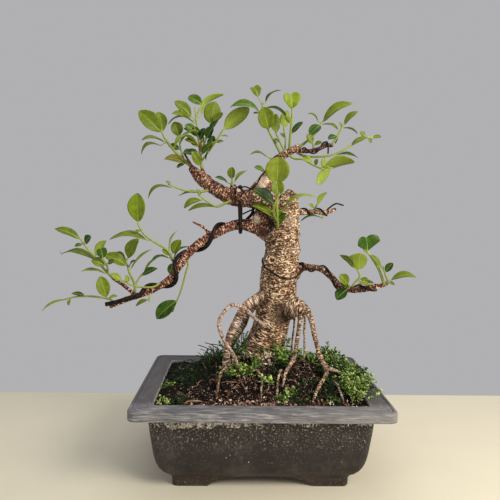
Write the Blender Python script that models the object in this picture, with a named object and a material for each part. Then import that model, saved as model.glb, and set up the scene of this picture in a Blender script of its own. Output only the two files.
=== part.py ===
# A banyan bonsai in its training pot: trunk with aerial roots, wired branches, leafy shoots, soil and ground cover.
# Sizes are in millimetres and are turned into metres where a mesh is made.
# The working frame has the pot's centre at x = y = 0 and the table at z = 0, with the front of the pot towards -Y.
# An empty carries every piece, and it moves the middle of the whole object's underside onto the origin at the end.
import math

import bmesh
import bpy
from mathutils import Vector

MM = 0.001
GAP = 0.3

POT = {
    "halfWidth": 132.0,
    "halfDepth": 102.0,
    "height": 90.0,
    "lipHeight": 10.5,
    "lipThickness": 3.2,
    "rimBand": 22.5,
    "wallHalfWidth": 117.0,
    "wallHalfDepth": 83.5,
    "wallThickness": 4.0,
    "footHalfWidth": 90.5,
    "footHalfDepth": 68.8,
    "floorTop": 16.0,
    "drainRadius": 9.0,
    "drainOffset": 46.0,
}

SOIL = {"edge": 84.0, "mound": 36.0, "centre": (5.0, 10.0), "reach": (80.0, 48.0)}

# Each limb: sides of its section, spacing of its stations, and its course as x, y, z and radius.
LIMBS = {
    "trunk": (12, 11.0, [
        (-1, 13, 92, 25), (2, 12, 108, 24), (5, 11, 124, 22.5), (11, 10, 142, 21), (15, 8.5, 160, 20.2),
        (17, 7, 176, 20.8), (20, 6, 192, 21.4), (20.5, 5, 208, 21.2), (22, 4, 224, 20.2), (24, 4, 240, 19.3),
        (23, 4, 255, 19.8), (24, 5, 268, 19.2), (26, 6, 282, 16.5), (30, 7, 296, 12.5), (36, 8, 306, 7.5),
    ]),
    "trunkRidge": (6, 14.0, [
        (-14, 3, 96, 13), (-10, 1, 112, 11), (-3, -1, 130, 9.5), (5, -3, 150, 8), (11, -5, 168, 7), (17, -6, 186, 6),
    ]),
    "crownLimb": (10, 11.0, [
        (24, 6, 276, 14), (12, 7, 290, 12.5), (-4, 8, 297, 11), (-20, 12, 299, 9.8), (-36, 16, 300, 9),
        (-55, 20, 310, 8.2), (-71, 24, 321, 7.2), (-80, 27, 330, 6.0), (-85, 28, 337, 4.8),
    ]),
    "crownTwigA": (6, 6.0, [(-66, 21, 318, 3.6), (-68.5, 22.5, 326, 2.8), (-70, 23, 333, 2.2)]),
    "crownStubA": (6, 5.0, [(-62, 21, 314, 3.6), (-66, 14, 318, 3.2), (-68, 9, 321, 2.8)]),
    "crownStubB": (6, 5.0, [(-34, 15, 302, 4), (-33, 12, 311, 3.4), (-33, 11, 314, 3)]),
    "topLimb": (8, 9.0, [
        (-8, 9, 298, 10), (2, 10, 312, 9), (11, 12, 328, 6.5), (15, 12, 341, 5), (24, 10, 349, 4.4),
        (33, 8, 354, 4), (41, 6, 359, 3.4),
    ]),
    "topTwig": (6, 8.0, [
        (36, 7, 355, 2.8), (48, 4, 353, 2.4), (57, 0, 354, 2.3), (64, -4, 356, 2.3), (70, -6, 359, 2.5),
        (77, -8, 358, 1.8),
    ]),
    "leftLimb": (8, 10.0, [
        (8, 4, 262, 13), (-2, 2, 266, 10.5), (-13, 0, 268, 7.6), (-24, -3, 269, 5.8), (-35, -6, 267, 5.2),
        (-45, -9, 262, 4.9), (-56, -12, 256, 4.8), (-66, -15, 250, 4.6), (-76, -18, 242, 4.5), (-85, -20, 232, 4.4),
        (-92, -23, 221, 4.2), (-99, -25, 210, 3.9), (-111, -28, 201, 3.6), (-128, -32, 193, 3.2),
        (-146, -36, 187, 2.9), (-162, -40, 180, 2.3),
    ]),
    "leftTwig": (6, 9.0, [(-136, -33, 191, 2), (-147, -38, 202, 1.9), (-159, -43, 211, 1.5)]),
    "deadTwig": (4, 9.0, [(-59, -12, 256, 2), (-64, -13, 264, 1.6), (-77, -18, 271, 1.1)]),
    "rightTwig": (6, 9.0, [
        (30, 8, 284, 5), (42, 10, 284, 3.6), (52, 14, 284, 3), (63, 18, 285, 2.8), (73, 22, 284, 2.6),
        (82, 25, 286, 2.4), (89, 27, 289, 1.8),
    ]),
    "rightLimb": (6, 9.0, [
        (30, 3, 212, 9), (40, 2, 217, 6.2), (48, 0, 221, 4.6), (57, -2, 221.5, 4), (65.5, -4, 220.5, 3.9),
        (72, -7, 217.5, 3.8), (79, -11, 211.5, 3.6), (85, -15, 204.5, 3.5), (93, -20, 200, 3.5), (101, -24, 199.5, 3.5),
        (108, -27, 200.5, 3.4), (115, -30, 202, 3.4), (122, -34, 204.5, 3), (128, -37, 206, 2.4),
    ]),
    "rootLeft": (6, 11.0, [
        (12, 2, 192, 10), (3, -1, 187, 7.6), (-5, -6, 184, 6), (-14, -12, 180, 5), (-21, -18, 173, 4.6),
        (-26, -21, 165, 4.2), (-31, -24, 155, 4), (-35, -26, 145, 3.9), (-37, -27, 132, 3.9), (-38, -28, 118, 4),
        (-40, -29, 98, 4),
    ]),
    "rootBehind": (6, 14.0, [
        (0, 10, 182, 6), (-8, 16, 172, 4), (-14, 21, 162, 3.6), (-19, 24, 148, 3.6), (-26, 26, 136, 3.6),
        (-33, 28, 122, 3.4), (-37, 30, 102, 3.4),
    ]),
    "rootLoop": (4, 9.0, [
        (6, -6, 152, 3), (-1, -16, 160, 2.3), (-9, -25, 168, 2.1), (-17, -32, 177, 2), (-25, -36, 182, 2),
        (-33, -38, 183, 2), (-40, -40, 177, 2), (-45, -41, 169, 2), (-46, -41, 160, 2), (-43, -41, 151, 2),
        (-39, -41, 143, 2), (-34, -40, 135, 2), (-29, -39, 127, 2.1), (-26, -34, 116, 2.1), (-25, -24, 107, 2),
        (-25, -16, 98, 2),
    ]),
    "rootSurfaceA": (4, 12.0, [
        (-25, -2, 109, 1.9), (-28, -9, 112.5, 1.8), (-36, -18, 107, 1.8), (-42, -27, 101.5, 1.7),
        (-45, -37, 96, 1.7), (-47, -50, 90.5, 1.6), (-48, -58, 85, 1.4),
    ]),
    "knob": (8, 9.0, [(26, 2, 178, 15), (37, -1, 176, 12), (45, -4, 174, 8.5), (51, -6, 171, 5)]),
    "rootStraight": (6, 13.0, [
        (43, -4, 174, 5.5), (43, -8, 163, 2.9), (41, -10, 151, 2.6), (38, -11, 138, 2.6), (36, -12, 124, 2.6),
        (33, -17, 115, 2.4), (28, -29, 106.5, 2.2), (23, -42, 98, 2), (20, -52, 90, 1.8),
    ]),
    "rootThin": (4, 18.0, [
        (49, -2, 171, 2.2), (52, 3, 160, 1.4), (52, 7, 145, 1.25), (53, 9, 130, 1.25), (53, 9, 116, 1.3),
        (52, 9, 100, 1.3),
    ]),
    "rootFork": (6, 12.0, [
        (45, -4, 178, 7), (52, -9, 173, 4.8), (57, -13, 162, 3.4), (60, -17, 148, 3.2), (64, -21, 132, 3.2),
        (67, -24, 122, 3.3), (71, -27, 114, 3), (73, -30, 108, 2.5), (67, -38, 101, 2.3), (61, -46, 95.5, 2.1),
        (55, -58, 89, 1.9), (52, -66, 82, 1.7),
    ]),
    "rootForkSide": (4, 10.0, [(70, -27, 115, 2.6), (78, -27, 111, 2.1), (87, -25, 107, 1.9), (94, -22, 98, 1.7)]),
    "rootGhost": (4, 20.0, [(36, 6, 172, 3), (41, 15, 158, 1.5), (41, 21, 142, 1.25), (40, 24, 127, 1.25), (40, 26, 105, 1.3)]),
    "surfaceB": (4, 12.0, [(16, -6, 108, 3), (19, -22, 108, 2), (17, -36, 103, 1.7), (15, -48, 97, 1.6), (14, -62, 90, 1.5), (14, -70, 84, 1.3)]),
    "surfaceC": (4, 12.0, [(0, -4, 112, 3), (-8, -16, 112, 2), (-10, -32, 105, 1.6), (-1, -41, 101, 1.5), (0, -54, 93.5, 1.4), (0, -62, 87, 1.3)]),
}

# Rounded swellings on the bark: x, y, z and radius.
BURLS = {
    "trunkScar": (10, -10, 228, 7.5),
    "rightCollar": (37, 2, 214, 8.5),
    "twigCollar": (36, 8, 286, 6.5),
    "kneeCollar": (33, -7, 172, 10),
    "crownKnee": (-66, 21, 318, 8.2),
    "leftCollar": (2, 3, 277, 13),
    "flareRight": (14, 4, 108, 17),
}

# Each shoot: its stem as x, y, z and radius, then its leaves.
# A leaf is the place along the stem (0 to 1), its heading in the X-Z plane, its lean towards the front (degrees),
# its stalk, its reach in the X-Z plane, its width, how far its upper face turns to the front, and its arch.
# A ninth number is where a notched tip sits, as a part of the length.
SHOOTS = {
    "shootCrownOuter": {
        "stems": [
            [(-84, 27, 336, 2.0), (-97, 24, 347, 1.8), (-108, 22, 359, 1.6), (-113, 20, 366, 1.4), (-116, 19, 372, 1.1)],
            [(-91, 26, 341, 1.1), (-95.5, 27.5, 354, 0.95), (-98.4, 28, 369, 0.9)],
        ],
        "leaves": [
            (0, 1.0, 138, 10, 2, 33, 20, 74, 0.05), (0, 1.0, 103, -14, 2, 24, 15, 62, 0.08),
            (0, 0.76, 180, 25, 4, 24, 12, 20, 0.14), (0, 0.76, 208, 12, 9, 24, 12, 26, 0.28),
            (0, 0.05, 170, 20, 3, 25, 14, 40, 0.10), (0, 0.12, 212, 30, 4, 9, 6, 50, 0.05),
            (1, 1.0, 104, 5, 2, 16, 15, 72, 0.05), (1, 0.50, 163, 15, 1.5, 13, 9, 58, 0.06),
            (1, 0.30, 40, -20, 2, 9, 6, 50, 0.05),
        ],
    },
    "shootCrownInner": {
        "stems": [
            [(-69.5, 23, 329, 2.0), (-72, 24, 343, 1.7), (-74, 25, 362, 1.5), (-77, 26, 383, 1.3), (-79, 25, 400, 0.9)],
            [(-72.5, 25, 352, 1.3), (-68, 30, 364, 1.2), (-64, 35, 377, 1.1), (-62, 37, 386, 1.0)],
            [(-71.5, 24, 341, 1.3), (-65, 21, 349, 1.2), (-55, 18, 363, 1.1), (-46.5, 15, 376, 1.0)],
            [(-78, 25.5, 393, 1.0), (-74, 25, 401, 0.9), (-71, 25, 407, 0.8)],
        ],
        "leaves": [
            (0, 0.83, 141, 15, 8, 24, 14, 64, 0.08), (0, 0.82, 168, 35, 8, 20, 11, 38, 0.10),
            (0, 0.80, 188, 20, 3, 29, 12, 15, 0.26), (3, 1.0, 151, -10, 1, 18, 13, 66, 0.05),
            (0, 0.85, 46, -10, 8, 37, 13, -22, 0.20), (0, 0.55, 112, 25, 3, 10, 9, 60, 0.05),
            (0, 0.56, 150, 20, 4, 15, 9, 42, 0.08), (0, 0.44, 163, 30, 4, 13, 8, 50, 0.06),
            (0, 0.40, 150, 10, 2, 10, 6, 60, 0.05), (0, 0.05, 121, 26, 5, 17, 11, 70, 0.05),
            (0, 0.32, 174, 5, 3, 12, 7, 42, 0.06),
            (1, 1.0, 79, -10, 2, 27, 22, -74, 0.06), (1, 0.97, 44, 10, 4, 17, 9, -50, 0.08),
            (1, 0.78, 44, 25, 2, 14, 8, 50, 0.06), (1, 0.45, 60, 15, 3, 14, 13, 60, 0.06),
            (1, 0.55, 204, 38, 4, 28, 12, 14, 0.30),
            (2, 1.0, 41, 5, 2, 37, 20, -48, 0.06), (2, 0.62, 10, 20, 2, 8, 5, 50, 0.05),
            (2, 0.60, 244, 5, 2, 20, 9, 12, 0.10), (2, 0.85, -5, -15, 2, 8, 4, 30, 0.05),
            (2, 0.30, 52, 30, 2, 14, 7, 48, 0.08),
        ],
    },
    "shootCrownLow": {
        "stems": [[(-60, 18, 308, 1.6), (-72, 10, 305, 1.4), (-88, 4, 306, 1.2), (-103, 0, 311, 0.9)]],
        "leaves": [
            (0, 0.95, 209, 12, 3, 28, 12, 22, 0.26), (0, 0.22, 190, 14, 3, 24, 9, 14, 0.06),
            (0, 1.0, 140, 10, 1, 7, 4, 40, 0.05),
        ],
    },
    "shootGuy": {
        "stems": [[(-33, 11, 297, 1.6), (-43, 2, 292, 1.5), (-52, -4, 288.5, 1.4), (-61, -8, 293, 1.2), (-69, -10, 299, 1.0)]],
        "leaves": [
            (0, 0.90, 204, 15, 3, 21, 11, 42, 0.14), (0, 0.55, 188, 20, 3, 28, 11, 28, 0.08),
            (0, 1.0, 120, 10, 1, 8, 5, 50, 0.05),
        ],
    },
    "shootCrownTop": {
        "stems": [[(-36, 15, 305, 1.5), (-36, 13, 313, 1.2), (-35, 11, 318, 1.0)]],
        "leaves": [
            (0, 1.0, 92, 5, 3, 13, 10, 70, 0.05), (0, 0.70, 156, 10, 5, 15, 8, 30, 0.08),
            (0, 0.65, 45, -15, 6, 20, 9, 28, 0.08),
        ],
    },
    "shootTopA": {
        "stems": [[(22, 11, 348, 1.7), (12, 9, 365, 1.5), (4, 9, 380, 1.4), (-1, 10, 393, 1.2), (-2, 9, 405, 0.9)]],
        "leaves": [
            (0, 0.86, 172, 10, 4, 33, 13, 28, 0.20), (0, 0.84, 190, 40, 3, 9, 5, 35, 0.05),
            (0, 0.97, 116, 5, 11, 13, 14, 62, 0.05, 0.92), (0, 0.99, 42, -10, 5, 23, 9, 20, 0.16),
            (0, 0.50, 109, 30, 4, 22, 20, 84, 0.03), (0, 0.96, -30, 12, 3, 31, 11, 30, 0.20),
        ],
    },
    "shootTopB": {
        "stems": [[(26, 9, 350, 1.4), (20, 10, 362, 1.1), (15, 13, 373, 1.0)], [(24.5, 9, 353, 1.1), (26, 15, 366, 1.0), (24, 18, 380, 0.9)]],
        "leaves": [
            (0, 1.0, 92, 5, 1.5, 21, 14, -66, 0.05), (0, 0.55, 166, 45, 2, 8, 5, 45, 0.05),
            (1, 1.0, 80, -5, 1.5, 20, 13, -64, 0.06), (1, 0.6, 130, -30, 2, 7, 5, 60, 0.05),
        ],
    },
    "shootTopC": {
        "stems": [[(30, 9, 352, 1.6), (30, 4, 368, 1.4), (31, 0, 385, 1.2), (31, -3, 397, 1.0)]],
        "leaves": [
            (0, 1.0, 106, 8, 1.5, 18, 21, 74, 0.04, 0.82), (0, 0.42, 46, 15, 3, 16, 9, 46, 0.06),
            (0, 0.66, 128, 30, 2, 10, 7, -60, 0.05),
        ],
    },
    "shootLimbUnder": {
        "stems": [[(12, 12, 338, 1.2), (9, 6, 344, 1.1), (5, 2, 346, 1.0)]],
        "leaves": [(0, 1.0, 176, 10, 2, 18, 9, 16, 0.18), (0, 0.6, 215, 30, 2, 9, 6, 45, 0.05)],
    },
    "shootTopRight": {
        "stems": [[(40, 6, 357, 1.7), (51, 8, 366, 1.5), (59, 10, 374, 1.3), (67, 13, 387, 1.0)]],
        "leaves": [
            (0, 0.97, 146, 5, 5, 14, 8, 20, 0.20), (0, 1.0, 32, 10, 2, 38, 17, 40, 0.14),
            (0, 0.95, 226, 20, 2, 17, 13, 60, 0.05), (0, 0.97, -26, 25, 2, 18, 9, 30, 0.14),
        ],
    },
    "shootTopEnd": {
        "stems": [[(75, -8, 358, 1.4), (81, -8, 368, 1.2), (87, -9, 380, 1.0)]],
        "leaves": [
            (0, 1.0, 47, 10, 2, 20, 10, 38, 0.08), (0, 0.95, -27, 15, 2, 16, 8, 22, 0.12),
            (0, 0.55, 205, 20, 2, 11, 8, 52, 0.05), (0, 0.60, 255, -20, 1.5, 9, 4, 40, 0.05),
            (0, 0.90, 118, 10, 1, 6, 4, 40, 0.05),
        ],
    },
    "shootLong": {
        "stems": [[(37, 8, 353, 1.5), (46, 12, 349, 1.4), (58, 13, 348, 1.3), (78, 13, 350, 1.3), (94, 14, 357, 1.2), (103, 15, 363, 1.3), (117, 16, 371, 1.3), (126, 16, 372, 1.0)]],
        "leaves": [
            (0, 0.50, -8, 15, 3, 23, 9, 26, 0.08), (0, 0.38, 266, 20, 2, 12, 9, -60, 0.05),
            (0, 0.72, 30, 10, 2, 13, 6, 40, 0.08), (0, 0.93, 82, 10, 1.5, 7, 6, 60, 0.05),
            (0, 1.0, -50, 10, 1, 6, 5, 60, 0.05),
        ],
    },
    "shootTwigTuft": {
        "stems": [[(57, 1, 354, 1.1), (56, 3, 361, 1.0)]],
        "leaves": [(0, 1.0, 128, 15, 1.5, 11, 10, 62, 0.05), (0, 0.8, 20, 30, 1.5, 8, 6, 50, 0.05)],
    },
    "shootHanging": {
        "stems": [[(29, 9, 349, 1.5), (36, 2, 343, 1.3), (47, -6, 340, 1.2), (56, -12, 335, 1.1), (63, -16, 332, 1.0)]],
        "leaves": [
            (0, 1.0, 12, 5, 2, 35, 18, -38, 0.08), (0, 1.0, 284, 15, 2, 17, 18, -66, 0.05),
            (0, 0.55, 300, 25, 2, 9, 9, 60, 0.05),
        ],
    },
    "shootFront": {
        "stems": [
            [(17, -8, 264, 2.0), (16, -17, 272, 1.7), (15, -22, 283, 1.5), (14, -26, 300, 1.2), (14, -28, 312, 1.1)],
            [(16, -18, 273, 1.3), (11, -25, 281, 1.2), (11, -33, 290, 1.1), (14.5, -37, 300, 1.0)],
        ],
        "leaves": [
            (0, 1.0, 90, 4, 2, 28, 27, 84, 0.03), (1, 1.0, 98, 4, 1, 16, 15, 80, 0.04),
            (0, 0.58, 147, 10, 3, 28, 17, 46, 0.05), (1, 0.15, 153, 15, 2, 27, 14, 40, 0.12),
            (0, 0.45, 22, 10, 7, 38, 10, 22, 0.22), (0, 0.28, 40, 35, 3, 9, 6, 55, 0.05),
            (0, 0.20, 120, 40, 2, 9, 6, 60, 0.05),
        ],
    },
    "shootTwigRight": {
        "stems": [[(62, 17, 286, 1.1), (63, 12, 291, 1.0)]],
        "leaves": [(0, 1.0, 56, 10, 2, 18, 9, -45, 0.08), (0, 0.5, 150, 25, 2, 8, 5, 50, 0.05)],
    },
    "shootTwigUnder": {
        "stems": [[(74, 22, 282, 1.1), (72, 18, 273, 1.0)]],
        "leaves": [(0, 1.0, 187, 25, 2, 26, 7, 12, 0.12)],
    },
    "shootFarLeft": {
        "stems": [
            [(-158, -43, 211, 1.5), (-166, -45, 220, 1.4), (-174, -47, 230, 1.3), (-182, -49, 241, 1.2), (-189, -50, 251, 0.9)],
            [(-163, -44, 216, 1.0), (-162, -50, 224, 1.0), (-165, -54, 231, 0.9)],
        ],
        "leaves": [
            (0, 1.0, 155, 10, 2, 27, 14, 40, 0.10), (0, 0.88, 50, 20, 2, 10, 10, 56, 0.05),
            (0, 0.90, 200, 30, 1.5, 7, 5, 45, 0.05), (0, 0.46, 170, -15, 2, 38, 14, 28, 0.10),
            (0, 0.55, 60, -10, 2, 19, 10, -40, 0.10), (1, 1.0, 98, 20, 1.5, 11, 11, 60, 0.04, 0.86),
            (1, 0.55, 158, 15, 3, 13, 11, 50, 0.06), (1, 0.70, 20, 20, 2, 8, 6, 50, 0.05),
            (0, 0.12, 172, 20, 4, 22, 8, 14, 0.10),
        ],
    },
    "shootFarTip": {
        "stems": [
            [(-157, -38, 182, 1.4), (-162, -38, 187.5, 1.2), (-176, -44, 191, 1.1), (-191, -50, 192, 1.0), (-202, -53, 190, 0.9)],
            [(-165, -39.5, 188.4, 1.0), (-163, -46, 189, 0.95), (-162, -53, 191, 0.9)],
        ],
        "leaves": [
            (0, 1.0, 205, 5, 2, 26, 7, 16, 0.08), (0, 0.62, 165, 20, 2, 13, 6, 32, 0.06),
            (0, 0.94, 262, 20, 1.5, 6, 5, 50, 0.05), (1, 1.0, 99, 5, 1.5, 19, 15, 75, 0.04),
            (0, 0.22, 12, -15, 2, 9, 5, 30, 0.06),
        ],
    },
    "shootLeftHigh": {
        "stems": [[(-91, -18.5, 220, 1.6), (-98.5, -18, 228, 1.4), (-104, -26, 240, 1.3), (-119, -36, 251, 1.2), (-127, -38, 258, 1.1), (-132, -40, 267, 0.9)]],
        "leaves": [
            (0, 0.68, 178, 10, 5, 38, 14, 24, 0.14), (0, 1.0, 92, 5, 3, 30, 20, 80, 0.04),
            (0, 0.24, 62, -10, 4, 14, 9, 68, 0.06), (0, 0.26, 140, 35, 2, 9, 6, 50, 0.05),
            (0, 0.34, 72, -10, 2, 23, 8, 12, 0.08), (0, 0.22, 188, 25, 3, 18, 8, 14, 0.18),
            (0, 0.20, 30, -25, 3, 22, 8, 14, 0.20), (0, 0.9, 190, 25, 1, 6, 4, 40, 0.05),
        ],
    },
    "shootLeftLow": {
        "stems": [
            [(-137, -33, 193, 1.5), (-138, -29, 203, 1.4), (-144, -25, 214, 1.3), (-148, -23, 227, 1.0)],
            [(-138, -30, 200, 1.0), (-134, -24, 209, 0.95), (-131, -21, 213, 0.9)],
        ],
        "leaves": [
            (0, 1.0, 60, 10, 4, 24, 14, 46, 0.08), (0, 0.86, 152, 15, 2, 24, 14, 45, 0.10),
            (0, 0.97, 148, -20, 3, 16, 8, 20, 0.20), (0, 0.72, 44, -15, 3, 30, 9, 16, 0.08),
            (1, 1.0, 46, -5, 2, 29, 9, 14, 0.08), (1, 0.80, 27, 20, 3, 19, 9, 46, 0.08),
            (0, 0.80, 42, 35, 2, 13, 5, 20, 0.10),
        ],
    },
    "shootLeftPale": {
        "stems": [[(-111, -30, 204, 1.2), (-118, -38, 201, 1.1), (-134, -46, 203, 1.0), (-146, -51, 209, 0.9)]],
        "leaves": [(0, 1.0, 150, 10, 1.5, 12, 8, 50, 0.08), (0, 0.85, 100, 20, 1.5, 8, 5, 50, 0.05)],
    },
    "shootDangling": {
        "stems": [[(-84, -17, 230, 1.3), (-82, -12, 224, 1.2), (-85, -12, 212, 1.1), (-90, -13, 193, 1.0), (-97, -14, 176, 0.9)]],
        "leaves": [(0, 0.97, 186, 15, 1.5, 20, 22, 72, 0.06), (0, 0.96, 250, -20, 1.5, 8, 5, 40, 0.05)],
    },
    "shootLeftUnder": {
        "stems": [[(-121, -31, 194, 1.1), (-121, -34, 188, 1.0)]],
        "leaves": [(0, 1.0, 207, 15, 2, 14, 6, 40, 0.08)],
    },
    "shootRightTall": {
        "stems": [[(126, -38, 204, 1.6), (124.5, -41, 213, 1.4), (119.5, -42, 228, 1.3), (112.5, -44, 244, 1.1)]],
        "leaves": [
            (0, 1.0, 100, 10, 1.5, 17, 28, 74, 0.03, 0.84), (0, 0.95, -54, 15, 2, 17, 9, 42, 0.10),
            (0, 0.92, 150, 30, 1.5, 8, 5, 45, 0.05),
        ],
    },
    "shootRightInner": {
        "stems": [[(99, -22, 201, 1.4), (104, -18, 207, 1.2), (109.5, -16, 213, 1.1), (108, -14, 219.5, 0.9)]],
        "leaves": [
            (0, 1.0, 84, 5, 1.5, 18, 26, -74, 0.08), (0, 0.95, 139, 10, 8, 20, 9, -30, 0.08),
            (0, 0.60, -8, 20, 2, 9, 6, 50, 0.05), (0, 0.45, -6, 10, 5, 14, 7, -40, 0.06),
        ],
    },
    "shootRightKnee": {
        "stems": [[(97, -21, 201, 1.2), (96, -26, 203, 1.1), (94.5, -28, 205, 1.0)]],
        "leaves": [
            (0, 1.0, 134, 12, 1.5, 14, 13, 60, 0.05), (0, 0.8, 170, 30, 1.5, 9, 7, 48, 0.05),
            (0, 0.55, 222, 12, 5, 15, 14, 46, 0.06),
        ],
    },
    "shootRightEnd": {
        "stems": [[(129, -36, 207, 1.5), (134, -39.5, 211, 1.3), (131, -43, 217, 1.1), (128.5, -45, 222, 0.9)]],
        "leaves": [
            (0, 0.95, 55, 15, 1, 12, 8, 52, 0.06), (0, 0.42, 9, 10, 3.5, 26, 12, 34, 0.20),
            (0, 0.38, -30, 25, 1.5, 6, 4, 50, 0.05), (0, 1.0, 120, -10, 1, 7, 4, 45, 0.05),
        ],
    },
    "shootRightPale": {
        "stems": [[(117, -31, 202.5, 1.1), (116, -36, 206.5, 1.0)]],
        "leaves": [(0, 1.0, 172, 15, 1.5, 13, 7, -42, 0.08)],
    },
}

STALK_RADIUS = 0.65
BLADE_THICKNESS = 0.7
STEM_STEP = 10.0

# Wound wires: the limb they follow, their angle round it (0 at the top, growing to the front on a limb that runs right)
# at shares of its length, the wire's radius, the sides of its section and the degrees between its points.
WIRES = {
    "wireThick": {
        "limb": "leftLimb", "radius": 2.3, "sides": 6, "step": 30,
        "twist": [(0.237, 69), (0.347, -90), (0.50, -290), (0.57, -360), (0.62, -450), (0.84, -805), (0.95, -785)],
    },
    "wireRightLimb": {
        "limb": "rightLimb", "radius": 0.9, "sides": 4, "step": 32,
        "twist": [(0.155, 0), (0.37, 360), (0.52, 450), (0.62, 540), (0.79, 720), (0.95, 900)],
    },
    "wireRightTwig": {
        "limb": "rightTwig", "radius": 0.9, "sides": 4, "step": 32,
        "twist": [(0.20, -90), (0.32, 0), (0.43, 180), (0.60, 360), (0.79, 540), (0.86, 700)],
    },
    "wireTopTwig": {
        "limb": "topTwig", "radius": 0.85, "sides": 4, "step": 32,
        "twist": [(0.15, -60), (0.35, 90), (0.60, 270), (0.86, 400)],
    },
}

# Cushions of ground cover: middle x and y, half sizes, height, number of lobes, and small leaf count.
COVER = {
    "coverRight": {"at": (96, -4), "size": (32, 50), "height": 21, "lobes": 5, "leaves": 16},
    "coverTrunk": {"at": (0, -17), "size": (38, 13), "height": 13, "lobes": 4, "leaves": 10},
    "coverLeft": {"at": (-70, 6), "size": (32, 34), "height": 8, "lobes": 5, "leaves": 10},
    "coverFront": {"at": (38, -64), "size": (16, 9), "height": 7, "lobes": 3, "leaves": 6},
    "coverCorner": {"at": (-88, -62), "size": (15, 11), "height": 6, "lobes": 3, "leaves": 5},
}


def clearScene():
    for obj in list(bpy.data.objects):
        bpy.data.objects.remove(obj, do_unlink=True)
    for collection in list(bpy.data.collections):
        bpy.data.collections.remove(collection)


def colourFrom(hexText):
    parts = [int(hexText[i:i + 2], 16) / 255 for i in (1, 3, 5)]
    return [p / 12.92 if p <= 0.04045 else ((p + 0.055) / 1.055) ** 2.4 for p in parts] + [1.0]


def makeMaterial(name, hexText, roughness, metallic=0.0):
    material = bpy.data.materials.new(name)
    material.use_nodes = True
    shader = material.node_tree.nodes["Principled BSDF"]
    shader.inputs["Base Color"].default_value = colourFrom(hexText)
    shader.inputs["Roughness"].default_value = roughness
    shader.inputs["Metallic"].default_value = metallic
    material.diffuse_color = colourFrom(hexText)
    return material


def objectFrom(name, mesh):
    obj = bpy.data.objects.new(name, mesh)
    bpy.context.scene.collection.objects.link(obj)
    return obj


def evaluatedMesh(obj):
    bpy.context.view_layer.update()
    graph = bpy.context.evaluated_depsgraph_get()
    return bpy.data.meshes.new_from_object(obj.evaluated_get(graph))


def tidyMesh(mesh, weld=1e-6):
    work = bmesh.new()
    work.from_mesh(mesh)
    bmesh.ops.remove_doubles(work, verts=work.verts, dist=weld)
    bmesh.ops.dissolve_degenerate(work, edges=work.edges, dist=weld)
    bmesh.ops.recalc_face_normals(work, faces=work.faces)
    work.to_mesh(mesh)
    work.free()
    return mesh


def smoothCourse(points, step):
    # A smooth line through the points, with its radius, as evenly spaced stations.
    knots = [Vector(p[:3]) for p in points]
    radii = [p[3] for p in points]
    ends = [knots[0] * 2 - knots[1]] + knots + [knots[-1] * 2 - knots[-2]]
    dense = []
    for i in range(len(knots) - 1):
        a, b, c, d = ends[i:i + 4]
        for k in range(12):
            u = k / 12
            where = 0.5 * (2 * b + (c - a) * u + (2 * a - 5 * b + 4 * c - d) * u * u + (3 * b - a - 3 * c + d) * u ** 3)
            dense.append((where, radii[i] + (radii[i + 1] - radii[i]) * u))
    dense.append((knots[-1], radii[-1]))
    reach = [0.0]
    for (p, _), (q, _) in zip(dense, dense[1:]):
        reach.append(reach[-1] + (q - p).length)
    count = max(2, round(reach[-1] / step) + 1)
    return [pointAt(dense, reach, reach[-1] * i / (count - 1)) for i in range(count)]


def pointAt(dense, reach, distance):
    for i in range(len(reach) - 1):
        if distance <= reach[i + 1] + 1e-9:
            share = (distance - reach[i]) / max(reach[i + 1] - reach[i], 1e-9)
            where = dense[i][0].lerp(dense[i + 1][0], share)
            return where, dense[i][1] + (dense[i + 1][1] - dense[i][1]) * share
    return dense[-1]


def tube(name, line, sides, closed=False):
    curve = bpy.data.curves.new(name, "CURVE")
    curve.dimensions = "3D"
    curve.bevel_depth = MM
    curve.bevel_resolution = sides // 2 - 2
    curve.use_fill_caps = not closed
    spline = curve.splines.new("POLY")
    spline.points.add(len(line) - 1)
    for point, (where, radius) in zip(spline.points, line):
        point.co = (*(where * MM), 1)
        point.radius = radius
    spline.use_cyclic_u = closed
    guide = objectFrom(name + "Guide", curve)
    mesh = tidyMesh(evaluatedMesh(guide))
    bpy.data.objects.remove(guide)
    bpy.data.curves.remove(curve)
    return objectFrom(name, mesh)


def ball(name, centre, radius):
    work = bmesh.new()
    bmesh.ops.create_icosphere(work, subdivisions=2, radius=radius * MM)
    bmesh.ops.translate(work, verts=work.verts, vec=Vector(centre) * MM)
    mesh = bpy.data.meshes.new(name)
    work.to_mesh(mesh)
    work.free()
    return objectFrom(name, mesh)


def combine(base, others, operation, solver="EXACT"):
    # Joins or cuts with every other object at once, bakes the result and removes the others.
    group = bpy.data.collections.new("operands")
    for other in others:
        group.objects.link(other)
    step = base.modifiers.new("combine", "BOOLEAN")
    step.operation = operation
    step.operand_type = "COLLECTION"
    step.collection = group
    step.solver = solver
    mesh = tidyMesh(evaluatedMesh(base), 2e-6)
    base.modifiers.clear()
    base.data = mesh
    for other in others:
        bpy.data.objects.remove(other, do_unlink=True)
    bpy.data.collections.remove(group)
    return base


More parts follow.
